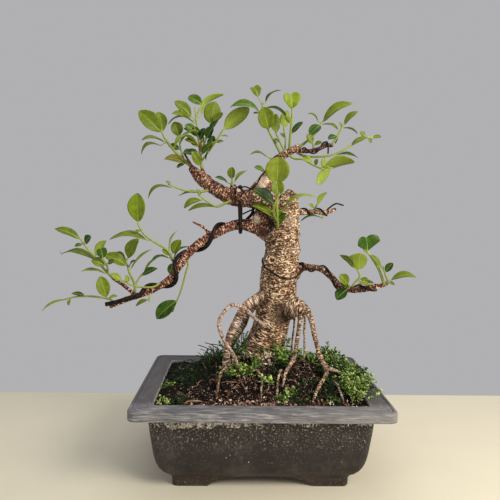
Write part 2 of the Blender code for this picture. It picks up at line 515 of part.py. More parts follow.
def keepLargest(obj):
    # A cut can leave crumbs beside the piece: only the body with the most volume stays.
    work = bmesh.new()
    work.from_mesh(obj.data)
    left = set(work.faces)
    islands = []
    while left:
        stack = [left.pop()]
        island = set(stack)
        while stack:
            for edge in stack.pop().edges:
                for face in edge.link_faces:
                    if face in left:
                        left.discard(face)
                        island.add(face)
                        stack.append(face)
        islands.append(island)
    if len(islands) > 1:
        def size(island):
            total = 0.0
            for face in island:
                corners = [v.co for v in face.verts]
                for i in range(1, len(corners) - 1):
                    total += corners[0].dot(corners[i].cross(corners[i + 1]))
            return abs(total)
        islands.sort(key=size, reverse=True)
        print(obj.name, "drops", [round(size(i) / 6 * 1e9, 2) for i in islands[1:]], "cubic mm")
        for island in islands[1:]:
            bmesh.ops.delete(work, geom=list(island), context="FACES")
        bmesh.ops.delete(work, geom=[v for v in work.verts if not v.link_faces], context="VERTS")
    work.to_mesh(obj.data)
    work.free()
    return obj


def roundedRing(work, halfX, halfY, corner, z, perCorner=4):
    ring = []
    for quarter in range(4):
        signX = 1 if quarter in (0, 3) else -1
        signY = 1 if quarter in (0, 1) else -1
        for i in range(perCorner):
            angle = math.pi / 2 * (quarter + i / (perCorner - 1))
            x = signX * (halfX - corner) + corner * math.cos(angle)
            y = signY * (halfY - corner) + corner * math.sin(angle)
            ring.append(work.verts.new(Vector((x, y, z)) * MM))
    return ring


def loftRings(name, rings):
    # Skins the rings in turn and closes the first and the last.
    work = bmesh.new()
    made = [roundedRing(work, *ring) for ring in rings]
    for low, high in zip(made, made[1:]):
        for i in range(len(low)):
            j = (i + 1) % len(low)
            work.faces.new((low[i], low[j], high[j], high[i]))
    work.faces.new(list(reversed(made[0])))
    work.faces.new(made[-1])
    bmesh.ops.recalc_face_normals(work, faces=work.faces)
    mesh = bpy.data.meshes.new(name)
    work.to_mesh(mesh)
    work.free()
    return objectFrom(name, mesh)


def prism(name, outline, axis, low, high):
    # An outline in the plane across the axis, drawn out along it.
    def place(a, b, along):
        return Vector((along, a, b)) if axis == "X" else Vector((a, along, b))
    work = bmesh.new()
    ends = [[work.verts.new(place(a, b, along) * MM) for a, b in outline] for along in (low, high)]
    for i in range(len(outline)):
        j = (i + 1) % len(outline)
        work.faces.new((ends[0][i], ends[0][j], ends[1][j], ends[1][i]))
    work.faces.new(list(reversed(ends[0])))
    work.faces.new(ends[1])
    bmesh.ops.recalc_face_normals(work, faces=work.faces)
    mesh = bpy.data.meshes.new(name)
    work.to_mesh(mesh)
    work.free()
    return objectFrom(name, mesh)


def cylinder(name, centre, radius, low, high, sides=16):
    work = bmesh.new()
    bmesh.ops.create_cone(work, cap_ends=True, segments=sides, radius1=radius * MM, radius2=radius * MM, depth=(high - low) * MM)
    bmesh.ops.translate(work, verts=work.verts, vec=Vector((centre[0], centre[1], (low + high) / 2)) * MM)
    mesh = bpy.data.meshes.new(name)
    work.to_mesh(mesh)
    work.free()
    return objectFrom(name, mesh)


def cavityRings(inset=0.0):
    wallX = POT["wallHalfWidth"] - POT["wallThickness"] - inset
    wallY = POT["wallHalfDepth"] - POT["wallThickness"] - inset
    return [
        (wallX - 2.5, wallY - 0.5, 8, POT["height"] - 1.6),
        (wallX - 2.8, wallY - 0.8, 8, 80),
        (106.0 - inset, 75.5 - inset, 9, 34),
        (104.2 - inset, 74.6 - inset, 9, 25),
        (96.0 - inset, 70.0 - inset, 7, POT["floorTop"] + inset),
    ]


def makePot():
    halfX, halfY, top = POT["halfWidth"], POT["halfDepth"], POT["height"]
    wallX, wallY = POT["wallHalfWidth"], POT["wallHalfDepth"]
    footX, footY = POT["footHalfWidth"], POT["footHalfDepth"]
    sheet = top - 3.4
    lip = top - POT["lipHeight"]
    inner = POT["lipThickness"]
    rings = [
        (footX, footY, 6, 0), (footX + 1, footY + 1, 6, 8), (97, 73, 8, 13.5), (104.5, 77.6, 11, 17.5),
        (110, 79.5, 12, 25), (111.7, 80.2, 12, 35), (wallX, wallY, 12, sheet),
        (halfX - inner, halfY - inner, 6, sheet), (halfX - inner, halfY - inner, 6, lip),
        (halfX - 0.8, halfY - 0.8, 8, lip), (halfX, halfY, 8.5, lip + 1), (halfX, halfY, 8.5, top - 1.4),
        (halfX - 1.2, halfY - 1.2, 7.5, top), (halfX - 3.4, halfY - 3.4, 7, top),
        (halfX - 4.2, halfY - 4.2, 7, top - 0.8), (halfX - POT["rimBand"] + 1.4, halfY - POT["rimBand"] + 1.4, 5, top - 0.6),
    ]
    pot = loftRings("pot", rings + cavityRings())
    under = [(-56, -2), (-55, 0), (-49, 4), (-38, 8), (-20, 10.4), (0, 11.2), (20, 10.4), (38, 8), (49, 4), (55, 0), (56, -2)]
    side = [(-43, -2), (-42, 0), (-37, 4), (-28, 7.6), (-12, 9.6), (12, 9.6), (28, 7.6), (37, 4), (42, 0), (43, -2)]
    cutters = [prism("underX", under, "Y", -120, 120), prism("underY", side, "X", -140, 140)]
    for sign in (-1, 1):
        cutters.append(cylinder("drain", (sign * POT["drainOffset"], 0), POT["drainRadius"], -4, 30))
    return combine(pot, cutters, "DIFFERENCE")


def soilHeight(x, y):
    dx = (x - SOIL["centre"][0]) / SOIL["reach"][0]
    dy = (y - SOIL["centre"][1]) / SOIL["reach"][1]
    mound = SOIL["mound"] * math.exp(-dx * dx - dy * dy)
    shoulder = 9 * math.exp(-((x - 86) / 30) ** 2 - ((y - 14) / 36) ** 2)
    rough = 1.1 * math.sin(x * 0.19 + 0.6) * math.cos(y * 0.23) + 0.8 * math.sin(x * 0.11 - y * 0.17 + 1.3)
    edge = min(1.0, max(0.0, (109 - abs(x)) / 22)) * min(1.0, max(0.0, (79 - abs(y)) / 22))
    return SOIL["edge"] + mound * (0.35 + 0.65 * edge) + shoulder * edge + rough


def soilBlock(name, raised, bottom, halfX=116, halfY=86, nx=16, ny=13):
    # A block whose top is the soil's surface, lifted by the given height.
    work = bmesh.new()
    grids = []
    for level in (0, 1):
        rows = []
        for j in range(ny + 1):
            y = -halfY + 2 * halfY * j / ny
            row = []
            for i in range(nx + 1):
                x = -halfX + 2 * halfX * i / nx
                row.append(work.verts.new(Vector((x, y, soilHeight(x, y) + raised if level else bottom)) * MM))
            rows.append(row)
        grids.append(rows)
    for j in range(ny):
        for i in range(nx):
            a, b, c, d = grids[1][j][i], grids[1][j][i + 1], grids[1][j + 1][i + 1], grids[1][j + 1][i]
            work.faces.new((a, b, c))
            work.faces.new((a, c, d))
    low, high = grids
    border = [(0, i) for i in range(nx)] + [(j, nx) for j in range(ny)]
    border += [(ny, nx - i) for i in range(nx)] + [(ny - j, 0) for j in range(ny)]
    for k, (j, i) in enumerate(border):
        m, n = border[(k + 1) % len(border)]
        work.faces.new((low[j][i], low[m][n], high[m][n], high[j][i]))
    work.faces.new([low[j][i] for j, i in reversed(border)])
    loose = [v for v in work.verts if not v.link_faces]
    bmesh.ops.delete(work, geom=loose, context="VERTS")
    bmesh.ops.recalc_face_normals(work, faces=work.faces)
    mesh = bpy.data.meshes.new(name)
    work.to_mesh(mesh)
    work.free()
    return objectFrom(name, mesh)


def makeTree(name, extra=0.0):
    # The same limbs with every radius made larger by extra serve as the cutter that keeps neighbours clear.
    parts = []
    for limb, (sides, step, points) in LIMBS.items():
        line = smoothCourse(points, step)
        if extra:
            first, last = line[0], line[-1]
            line[0] = (first[0] + (first[0] - line[1][0]).normalized() * extra, first[1])
            line[-1] = (last[0] + (last[0] - line[-2][0]).normalized() * extra, last[1])
        parts.append(tube(limb, [(where, radius + extra) for where, radius in line], sides))
    for burl, (x, y, z, radius) in BURLS.items():
        parts.append(ball(burl, (x, y, z), radius + extra))
    tree = parts[0]
    combine(tree, parts[1:], "UNION")
    tree.name = name
    return keepLargest(tree)


def makeSoil(cutter):
    soil = loftRings("soil", [(*ring[:3], 140 if i == 0 else ring[3]) for i, ring in enumerate(cavityRings(GAP))])
    block = soilBlock("soilShape", 0.0, 0.0)
    combine(soil, [block], "INTERSECT")
    combine(soil, [cutter], "DIFFERENCE")
    return keepLargest(soil)


def leafFrame(heading, lean, face):
    h, w, f = math.radians(heading), math.radians(lean), math.radians(face)
    along = Vector((math.cos(h) * math.cos(w), -math.sin(w), math.sin(h) * math.cos(w)))
    front = Vector((0, -1, 0))
    front = (front - along * front.dot(along)).normalized()
    above = along.cross(front)
    if above.z < 0 or (abs(above.z) < 0.05 and above.x > 0):
        above = -above
    normal = above * math.cos(f) + front * math.sin(f)
    return along, normal, normal.cross(along)


def leafStations(length, width, notch):
    # Shares of the length with the shares of the half width there, and where the tip sits.
    if notch < 1:
        return [(0.24, 0.72), (0.58, 1.0), (0.94, 0.60)]
    if length < 17:
        return [(0.30, 0.88), (0.70, 0.84)]
    if width > 0.75 * length:
        return [(0.20, 0.68), (0.52, 1.0), (0.84, 0.74)]
    return [(0.20, 0.60), (0.50, 1.0), (0.80, 0.66)]


def makeLeaf(name, root, base, along, normal, side, length, width, arch, notch):
    # One closed solid: a flat stalk from the stem's middle, then a folded, arched blade with a midrib.
    stations = leafStations(length, width, notch)
    fold = math.radians(18)
    half = STALK_RADIUS
    def place(s, across, lift):
        bend = normal * (arch * length * 4 * s * (1 - s) + abs(across) * math.sin(fold) + lift)
        return (base + along * (length * s) + bend + side * (across * math.cos(fold))) * MM
    work = bmesh.new()
    sheets = []
    for sign in (1, -1):
        thick = sign * STALK_RADIUS * 0.8
        lift = sign * BLADE_THICKNESS / 2
        start = [work.verts.new((root + side * (w * half) + normal * thick) * MM) for w in (-1, 1)]
        neck = [work.verts.new((base + side * (w * half) + normal * thick) * MM) for w in (-1, 1)]
        middle = [work.verts.new(place(min(s, notch - 0.1), 0, lift)) for s, _ in stations]
        edges = [[work.verts.new(place(s, w * share * width / 2, lift)) for s, share in stations] for w in (-1, 1)]
        tip = work.verts.new(place(notch, 0, lift))
        sheet = [(start[0], start[1], neck[1]), (start[0], neck[1], neck[0]), (neck[0], neck[1], middle[0])]
        for k in (0, 1):
            sheet.append((neck[k], middle[0], edges[k][0]))
            for i in range(len(stations) - 1):
                sheet.append((middle[i], middle[i + 1], edges[k][i + 1]))
                sheet.append((middle[i], edges[k][i + 1], edges[k][i]))
            sheet.append((middle[-1], tip, edges[k][-1]))
        for corners in sheet:
            work.faces.new(corners)
        sheets.append([start[0], neck[0]] + edges[0] + [tip] + list(reversed(edges[1])) + [neck[1], start[1]])
    upper, lower = sheets
    for i in range(len(upper)):
        j = (i + 1) % len(upper)
        work.faces.new((upper[i], upper[j], lower[j]))
        work.faces.new((upper[i], lower[j], lower[i]))
    bmesh.ops.recalc_face_normals(work, faces=work.faces)
    mesh = bpy.data.meshes.new(name)
    work.to_mesh(mesh)
    work.free()
    return objectFrom(name, mesh)


def makeShoot(name, shoot, cutter):
    pieces = []
    courses = []
    for i, stem in enumerate(shoot["stems"]):
        line = smoothCourse(stem, STEM_STEP)
        courses.append(line)
        pieces.append(tube(f"{name}Stem{i}", line, 4))
    for i, row in enumerate(shoot["leaves"]):
        which, share, heading, lean, stalk, reach, width, face, arch = row[:9]
        notch = row[9] if len(row) > 9 else 1.0
        course = courses[which]
        place = share * (len(course) - 1)
        step = min(int(place), len(course) - 2)
        root = course[step][0].lerp(course[step + 1][0], place - step)
        along, normal, side = leafFrame(heading, lean, face)
        length = reach / math.cos(math.radians(lean))
        base = root + along * stalk
        pieces.append(makeLeaf(f"{name}Leaf{i}", root, base, along, normal, side, length, width, arch, notch))
    shootObject = pieces[0]
    combine(shootObject, pieces[1:], "UNION")
    combine(shootObject, [objectFrom("seat", cutter.data.copy())], "DIFFERENCE")
    shootObject.name = name
    return keepLargest(shootObject)


def limbCourse(limb):
    sides, step, points = LIMBS[limb]
    return smoothCourse(points, 1.0)


def windRound(limb, twist, radius, step):
    # Points of a wire wound on a limb, clear of its bark by the gap.
    course = limbCourse(limb)
    frames = []
    frame = Vector((0, 0, 1))
    for i in range(len(course)):
        tangent = (course[min(i + 2, len(course) - 1)][0] - course[max(i - 2, 0)][0]).normalized()
        frame = (frame - tangent * frame.dot(tangent)).normalized()
        frames.append((frame.copy(), tangent.cross(frame)))
    line = []
    for (first, start), (last, stop) in zip(twist, twist[1:]):
        count = max(1, round(abs(stop - start) / step))
        for k in range(count + (1 if last == twist[-1][0] else 0)):
            share = (first + (last - first) * k / count) * (len(course) - 1)
            angle = math.radians(start + (stop - start) * k / count)
            i = min(int(share), len(course) - 2)
            where = course[i][0].lerp(course[i + 1][0], share - i)
            bark = course[i][1] + (course[i + 1][1] - course[i][1]) * (share - i)
            up, out = frames[i]
            line.append((where + (up * math.cos(angle) + out * math.sin(angle)) * (bark + radius + GAP + 0.2), radius))
    return line


def makeWires():
    # The thick wire ends past its limb, and the thin ones round the trunk or in a free tail.
    tails = {
        "wireThick": [(-6, -1, -1.5), (-13, -2, -3)],
        "wireRightTwig": [(5, 0, 4), (10, 0, 6), (18, 1, 4)],
        "wireTopTwig": [(1, -2, -6), (1, -2, -13)],
    }
    wires = []
    for name, wire in WIRES.items():
        radius = wire["radius"]
        line = windRound(wire["limb"], wire["twist"], radius, wire["step"])
        if name == "wireRightLimb":
            ring = [(150, 231), (180, 229), (210, 224), (240, 217), (270, 211), (296, 209)]
            turn = [Vector((21.5 + 22.3 * math.cos(math.radians(a)), 4.6 + 22.3 * math.sin(math.radians(a)), z)) for a, z in ring]
            turn += [Vector((38, -11, 211)), Vector((43.5, -9, 215)), Vector((47.5, -6.4, 220.5)), Vector((47.8, -3, 226))]
            line = [(where, radius) for where in turn] + line
        end = line[-1][0]
        line += [(end + Vector(step), radius) for step in tails.get(name, [])]
        wires.append(tube(name, line, wire["sides"]))
    wires.append(makeGuyTie())
    return wires


def makeGuyTie():
    # A loop of wire that holds the two left limbs together, wound over the upper and under the lower one.
    x = -24.5
    upper, lower = Vector((x, 12.8, 299)), Vector((x, -3.2, 269))
    radius = 1.9
    reachUpper, reachLower = 9.6 + radius + 0.6, 6.3 + radius + 0.6
    axis = (upper - lower).normalized()
    front = Vector((0, -axis.z, axis.y))
    line = []
    for k in range(9):
        angle = math.pi * k / 8
        line.append((upper + (front * math.cos(angle) + axis * math.sin(angle)) * reachUpper, radius))
    for k in range(9):
        angle = math.pi * k / 8
        line.append((lower + (-front * math.cos(angle) - axis * math.sin(angle)) * reachLower, radius))
    loop = tube("guyTie", line, 6, closed=True)
    top = upper + axis * reachUpper
    twist = tube("guyTwist", [(top, 1.7), (top + Vector((4, -1, 4)), 1.7), (top + Vector((6, -3, 8)), 1.4)], 6)
    return combine(loop, [twist], "UNION")


def makeCover(name, cover, soilCutter, treeCutter):
    # A bumpy cushion on the soil with small leaves standing out of it.
    cx, cy = cover["at"]
    rx, ry = cover["size"]
    work = bmesh.new()
    around, rings = 12, 3
    levels = []
    for level in (1, 0):
        rows = []
        for r in range(1, rings + 1):
            row = []
            share = r / rings
            for k in range(around):
                angle = 2 * math.pi * k / around
                wobble = 1 + 0.16 * math.sin(cover["lobes"] * angle + cx) + 0.07 * math.sin(3 * angle + cy)
                x = cx + rx * share * wobble * math.cos(angle)
                y = cy + ry * share * wobble * math.sin(angle)
                height = cover["height"] * (1 - share ** 2.6) * (0.82 + 0.18 * math.sin(k * 2.4 + r * 1.9))
                ground = max(soilHeight(x, y), 90.0 if x > 106 else 0)
                z = ground + (max(height, 0.0) + 1.2 if level else -6)
                row.append(work.verts.new(Vector((x, y, z)) * MM))
            rows.append(row)
        centre = work.verts.new(Vector((cx, cy, soilHeight(cx, cy) + (cover["height"] + 1.2 if level else -6))) * MM)
        levels.append((rows, centre))
    for rows, centre in levels:
        for k in range(around):
            m = (k + 1) % around
            work.faces.new((centre, rows[0][k], rows[0][m]))
            for r in range(rings - 1):
                work.faces.new((rows[r][k], rows[r + 1][k], rows[r + 1][m]))
                work.faces.new((rows[r][k], rows[r + 1][m], rows[r][m]))
    top, low = levels[0][0][-1], levels[1][0][-1]
    for k in range(around):
        m = (k + 1) % around
        work.faces.new((top[k], low[k], low[m], top[m]))
    bmesh.ops.recalc_face_normals(work, faces=work.faces)
    mesh = bpy.data.meshes.new(name)
    work.to_mesh(mesh)
    work.free()
    cushion = objectFrom(name, mesh)
    tips = []
    for i in range(cover["leaves"]):
        angle = i * 2.399963
        share = math.sqrt((i + 0.5) / cover["leaves"]) * 0.86
        x, y = cx + rx * share * math.cos(angle), cy + ry * share * math.sin(angle)
        height = cover["height"] * (1 - share ** 2.6) * 0.8
        root = Vector((x, y, soilHeight(x, y) + height))
        aim = Vector((math.cos(angle * 1.7) * 0.7, math.sin(angle * 1.3) * 0.7 - 0.2, 1.0)).normalized()
        across = aim.cross(Vector((math.cos(i * 1.1), math.sin(i * 1.1), 0.2))).normalized()
        tips.append(leaflet(f"{name}Leaf{i}", root, aim, across, 6.5, 4.2))
    combine(cushion, tips, "UNION")
    rim = prism("rimSeat", [(-100, 40), (100, 40), (100, 90.5), (-100, 90.5)], "X", 108.4, 150)
    seats = [objectFrom("soilSeat", soilCutter.data.copy()), objectFrom("rootSeat", treeCutter.data.copy()), rim]
    combine(cushion, seats, "DIFFERENCE")
    cushion.name = name
    return keepLargest(cushion)


def leaflet(name, root, aim, across, length, width):
    # A thin diamond with a thickness of about a millimetre.
    work = bmesh.new()
    normal = aim.cross(across).normalized()
    end = work.verts.new((root + aim * length) * MM)
    start = work.verts.new((root - aim * 1.0) * MM)
    ring = [root + aim * length * 0.55 + across * width / 2, root + aim * length * 0.55 + normal * 0.5,
            root + aim * length * 0.55 - across * width / 2, root + aim * length * 0.55 - normal * 0.5]
    ring = [work.verts.new(p * MM) for p in ring]
    for k in range(4):
        m = (k + 1) % 4
        work.faces.new((end, ring[k], ring[m]))
        work.faces.new((start, ring[m], ring[k]))
    bmesh.ops.recalc_face_normals(work, faces=work.faces)
    mesh = bpy.data.meshes.new(name)
    work.to_mesh(mesh)
    work.free()
    return objectFrom(name, mesh)


def finish(obj, material, smooth):
    obj.data.materials.clear()
    obj.data.materials.append(material)
    for face in obj.data.polygons:
        face.material_index = 0
    if smooth:
        obj.data.shade_smooth()
        obj.data.set_sharp_from_angle(angle=math.radians(40))
    else:
        obj.data.shade_flat()


def carry(nodes):
    # The empty that carries the pieces puts the middle of their underside at the origin.
    low, high = Vector((1e9, 1e9, 1e9)), Vector((-1e9, -1e9, -1e9))
    for obj in nodes:
        for vertex in obj.data.vertices:
            for axis in range(3):
                low[axis] = min(low[axis], vertex.co[axis])
                high[axis] = max(high[axis], vertex.co[axis])
    holder = objectFrom("bonsai", None)
    holder.location = (-(low.x + high.x) / 2, -(low.y + high.y) / 2, -low.z)
    for obj in nodes:
        obj.parent = holder
    print("size", [round(v, 1) for v in (high - low) / MM], "holder", [round(v / MM, 2) for v in holder.location])


def main():
    clearScene()
    plastic = makeMaterial("potPlastic", "#45403e", 0.55)
    earth = makeMaterial("pottingSoil", "#3a281b", 0.95)
    bark = makeMaterial("figBark", "#a07f5c", 0.85)
    green = makeMaterial("leafGreen", "#6b8f1f", 0.45)
    moss = makeMaterial("coverGreen", "#6a9a35", 0.6)
    metal = makeMaterial("blackWire", "#1a1512", 0.5, 0.3)
    nodes = []
    pot = makePot()
    finish(pot, plastic, True)
    nodes.append(pot)
    print("pot", len(pot.data.polygons))
    treeCutter = makeTree("treeCutter", GAP)
    tree = makeTree("tree")
    finish(tree, bark, True)
    nodes.append(tree)
    print("tree", len(tree.data.polygons))
    soil = makeSoil(objectFrom("soilCut", treeCutter.data.copy()))
    finish(soil, earth, True)
    nodes.append(soil)
    soilCutter = soilBlock("soilCutter", GAP, 40)
    for name, cover in COVER.items():
        cushion = makeCover(name, cover, soilCutter, treeCutter)
        finish(cushion, moss, False)
        nodes.append(cushion)
    for name, shoot in SHOOTS.items():
        made = makeShoot(name, shoot, treeCutter)
        finish(made, green, False)
        nodes.append(made)
    for wire in makeWires():
        finish(wire, metal, True)
        nodes.append(wire)
    bpy.data.objects.remove(treeCutter)
    bpy.data.objects.remove(soilCutter)
    carry(nodes)
    print("nodes", len(nodes), "faces", sum(len(obj.data.polygons) for obj in nodes))


main()
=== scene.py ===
# A banyan bonsai in its training pot: the looks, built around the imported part.
# The tables are in millimetres in the pot's frame: its middle at x = y = 0, the table at z = 0, front at -Y.
import math
import random
from functools import partial

import bmesh
import bpy
import numpy as np
from bmesh.types import BMEdge, BMFace, BMVert
from mathutils import Matrix, Vector, noise


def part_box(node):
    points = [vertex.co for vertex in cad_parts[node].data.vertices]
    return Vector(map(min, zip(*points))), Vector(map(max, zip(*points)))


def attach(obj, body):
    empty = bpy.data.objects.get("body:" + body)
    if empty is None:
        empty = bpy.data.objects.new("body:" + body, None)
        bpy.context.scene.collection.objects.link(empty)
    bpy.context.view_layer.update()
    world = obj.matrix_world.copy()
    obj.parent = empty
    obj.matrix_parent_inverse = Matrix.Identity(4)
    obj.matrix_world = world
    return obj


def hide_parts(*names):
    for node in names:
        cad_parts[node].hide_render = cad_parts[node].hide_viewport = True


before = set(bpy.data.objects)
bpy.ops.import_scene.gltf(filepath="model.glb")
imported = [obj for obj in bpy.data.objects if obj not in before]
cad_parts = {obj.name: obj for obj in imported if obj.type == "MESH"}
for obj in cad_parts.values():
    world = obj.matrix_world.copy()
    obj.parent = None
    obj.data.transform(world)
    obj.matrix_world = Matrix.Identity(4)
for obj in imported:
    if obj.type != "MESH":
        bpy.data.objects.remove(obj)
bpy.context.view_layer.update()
mm = 0.001
anyTurn = (0, 6.28)  # radians
potLow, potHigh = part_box("pot")
potMiddle = Vector(((potLow.x + potHigh.x) / 2, (potLow.y + potHigh.y) / 2, 0))
toRow = Matrix.Translation(potMiddle) @ Matrix.Scale(mm, 4)  # mm in the pot's frame to metres in the row's

view = {
    "at": (-30.5, -582.7, 277.1), "yaw": 1.70, "pitch": -3.65, "roll": 1.05,
    "focalPixels": 513.4, "framePixels": 500, "sensor": 36.0, "clip": (0.01, 20),
}

studio = {
    "floorColour": "#ddd6bf", "floorNear": -1100, "floorFar": (206, 210), "floorSide": 1300,
    "skyColour": "#c9c8cb", "skyStrength": 0.75,
    "lights": {  # where it hangs, what it points at, its side in mm, its watts and its colour
        "windowRight": ((580, -560, 640), (10, 0, 190), 480, 9.2, "#fff7ea"),
        "windowLeft": ((-760, -520, 520), (0, 0, 180), 700, 0.9, "#eef3ff"),
        "ceiling": ((-20, 120, 1050), (0, 0, 150), 800, 1.9, "#ffffff"),
    },
}


def fromHex(text):
    parts = [int(text[i:i + 2], 16) / 255 for i in (1, 3, 5)]
    return [p / 12.92 if p <= 0.04045 else ((p + 0.055) / 1.055) ** 2.4 for p in parts] + [1.0]


def clamp(value, low=0.0):
    return min(1.0, max(low, value))


def fillInputs(tree, node, inputs):
    for key, value in (inputs.items() if isinstance(inputs, dict) else enumerate(inputs)):
        if isinstance(value, bpy.types.NodeSocket):
            tree.links.new(value, node.inputs[key])
        else:
            node.inputs[key].default_value = fromHex(value) if isinstance(value, str) else value


def addNode(tree, kind, settings, inputs, out=0, stops=()):
    # Adds a node with its settings and inputs and gives an output. A pattern's Scale is 1000 / size in mm.
    node = tree.nodes.new("ShaderNode" + kind)
    for key, value in settings.items():
        setattr(node, key, value)
    fillInputs(tree, node, inputs)
    for i, (place, colour) in enumerate(stops):
        elements = node.color_ramp.elements
        element = elements[i] if i < 2 else elements.new(place)
        element.position = place
        element.color = fromHex(colour)
    return node.outputs[out]


def newMaterial(name):
    # A material, what adds nodes to it, and its Object coordinates.
    material = bpy.data.materials.new(name)
    material.use_nodes = True
    add = partial(addNode, material.node_tree)
    return material, add, add("TexCoord", {}, {}, "Object")


def setShader(material, inputs):
    fillInputs(material.node_tree, material.node_tree.nodes["Principled BSDF"], inputs)
    return material


def placePiece(name, mesh, materials, replaced=(), smooth=True):
    mesh.transform(toRow)
    for material in materials:
        mesh.materials.append(material)
    if smooth:
        mesh.shade_smooth()
    piece = asObject(name, mesh)
    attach(piece, "root")
    if replaced:
        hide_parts(*replaced)
    print(name, len(mesh.polygons), "faces")
    return piece


def asObject(name, data):
    obj = bpy.data.objects.new(name, data)
    bpy.context.scene.collection.objects.link(obj)
    return obj


def evaluated(obj):
    # The mesh that the object's modifiers make; the object itself is removed.
    bpy.context.view_layer.update()
    mesh = bpy.data.meshes.new_from_object(obj.evaluated_get(bpy.context.evaluated_depsgraph_get()))
    bpy.data.objects.remove(obj)
    return mesh


def opened(*meshes):
    work = bmesh.new()
    for mesh in meshes:
        work.from_mesh(mesh)
    return work


def asMesh(work, name, outward=False):
    if outward:
        bmesh.ops.recalc_face_normals(work, faces=work.faces)
    mesh = bpy.data.meshes.new(name)
    work.to_mesh(mesh)
    work.free()
    return mesh


def pick(kind, parts):
    return [part for part in parts if isinstance(part, kind)]


def closeBelow(work, lowered):
    # Draws a sheet's open edge down to the height that lowered gives, and closes the bottom.
    drop = bmesh.ops.extrude_edge_only(work, edges=[e for e in work.edges if e.is_boundary])["geom"]
    for vertex in pick(BMVert, drop):
        vertex.co.z = lowered(vertex.co.z)
    bmesh.ops.contextual_create(work, geom=[e for e in work.edges if e.is_boundary])
    bmesh.ops.recalc_face_normals(work, faces=work.faces)


def between(low, high, share):
    # The place and radius at a share of the way between two stations.
    return low[0].lerp(high[0], share), low[1] + (high[1] - low[1]) * share


def smoothCourse(points, step):
    # A smooth line through the points, with its radius, as evenly spaced stations.
    perSpan = 12
    knots = [Vector(p[:3]) for p in points]
    ends = [knots[0] * 2 - knots[1]] + knots + [knots[-1] * 2 - knots[-2]]
    dense = []
    for i, ((*_, radius), (*_, after)) in enumerate(zip(points, points[1:])):
        a, b, c, d = ends[i:i + 4]
        for k in range(perSpan):
            u = k / perSpan
            where = 2 * b + (c - a) * u
            where += (2 * a - 5 * b + 4 * c - d) * u * u
            where += (3 * b - a - 3 * c + d) * u ** 3
            dense.append((0.5 * where, radius + (after - radius) * u))
    dense.append((knots[-1], points[-1][3]))
    reach = [0.0]
    for (p, _), (q, _) in zip(dense, dense[1:]):
        reach.append(reach[-1] + (q - p).length)
    count = max(2, round(reach[-1] / step) + 1)
    course = []
    i = 0
    for k in range(count):
        distance = reach[-1] * k / (count - 1)
        while i < len(dense) - 2 and distance > reach[i + 1]:
            i += 1
        share = min(1.0, (distance - reach[i]) / max(reach[i + 1] - reach[i], 1e-9))
        course.append(between(dense[i], dense[i + 1], share))
    return course


def onCourse(course, share):
    place = share * (len(course) - 1)
    i = min(int(place), len(course) - 2)
    return between(course[i], course[i + 1], place - i)


def thickened(points, radius):
    return [(*p, radius) for p in points]


def tubes(name, lines, sides):
    # Round tubes along lines of points and radii, as one mesh.
    curve = bpy.data.curves.new(name, "CURVE")
    curve.dimensions = "3D"
    curve.bevel_depth = 1.0
    curve.bevel_resolution = max(0, sides // 2 - 2)
    curve.use_fill_caps = True
    for line in lines:
        spline = curve.splines.new("POLY")
        spline.points.add(len(line) - 1)
        for point, (where, radius) in zip(spline.points, line):
            point.co = (*where, 1)
            point.radius = radius
    work = opened(evaluated(asObject(name, curve)))
    bmesh.ops.remove_doubles(work, verts=work.verts, dist=1e-3)
    return asMesh(work, name, True)


def makeStudio():
    # The camera that was fitted to the pot's corners, a plain pale table top and soft light.
    yaw, pitch, roll = (math.radians(view[k]) for k in ("yaw", "pitch", "roll"))
    forward = Vector((math.sin(yaw) * math.cos(pitch), math.cos(yaw) * math.cos(pitch), math.sin(pitch)))
    level = Vector((math.cos(yaw), -math.sin(yaw), 0))
    up = level.cross(forward)
    right = level * math.cos(roll) + up * math.sin(roll)
    up = up * math.cos(roll) - level * math.sin(roll)
    camera = bpy.data.cameras.new("camera")
    camera.sensor_width = view["sensor"]
    camera.lens = view["focalPixels"] / view["framePixels"] * view["sensor"]
    camera.clip_start, camera.clip_end = view["clip"]
    stand = asObject("camera", camera)
    turn = Matrix((right, up, -forward)).transposed().to_4x4()
    stand.matrix_world = Matrix.Translation(toRow @ Vector(view["at"])) @ turn
    bpy.context.scene.camera = stand

    work = bmesh.new()
    bmesh.ops.create_grid(work, x_segments=1, y_segments=1, size=1)
    for vertex in work.verts:
        farEdge = studio["floorFar"][0 if vertex.co.x < 0 else 1]
        vertex.co.y = farEdge if vertex.co.y > 0 else studio["floorNear"]
        vertex.co.x *= studio["floorSide"]
    floorMesh = asMesh(work, "floor")
    floorMesh.transform(toRow)
    floorMesh.materials.append(layeredMaterial("paintedBoard"))
    asObject("floor", floorMesh)

    world = bpy.data.worlds.new("sky")
    world.use_nodes = True
    sky = {"Color": studio["skyColour"], "Strength": studio["skyStrength"]}
    fillInputs(world.node_tree, world.node_tree.nodes["Background"], sky)
    bpy.context.scene.world = world
    for name, (at, target, side, watts, colour) in studio["lights"].items():
        lamp = bpy.data.lights.new(name, "AREA")
        lamp.shape = "SQUARE"
        lamp.size = side * mm
        lamp.energy = watts
        lamp.color = fromHex(colour)[:3]
        hung = asObject(name, lamp)
        hung.location = toRow @ Vector(at)
        hung.rotation_mode = "QUATERNION"
        hung.rotation_quaternion = (Vector(target) - Vector(at)).to_track_quat("-Z", "Y")
    bpy.context.scene.view_settings.view_transform = "Standard"
    print("studio ready")


softly = {"interpolation_type": "SMOOTHSTEP"}
colours = {"data_type": "RGBA"}  # a Mix of colours takes them at sockets 6 and 7 and gives its result at 2
times, plus, minus, timesPlus = ({"operation": o} for o in ("MULTIPLY", "ADD", "SUBTRACT", "MULTIPLY_ADD"))
leafGlow = (0.7, 1.0, 0.25)  # how far red, green and blue light spread in a thin leaf


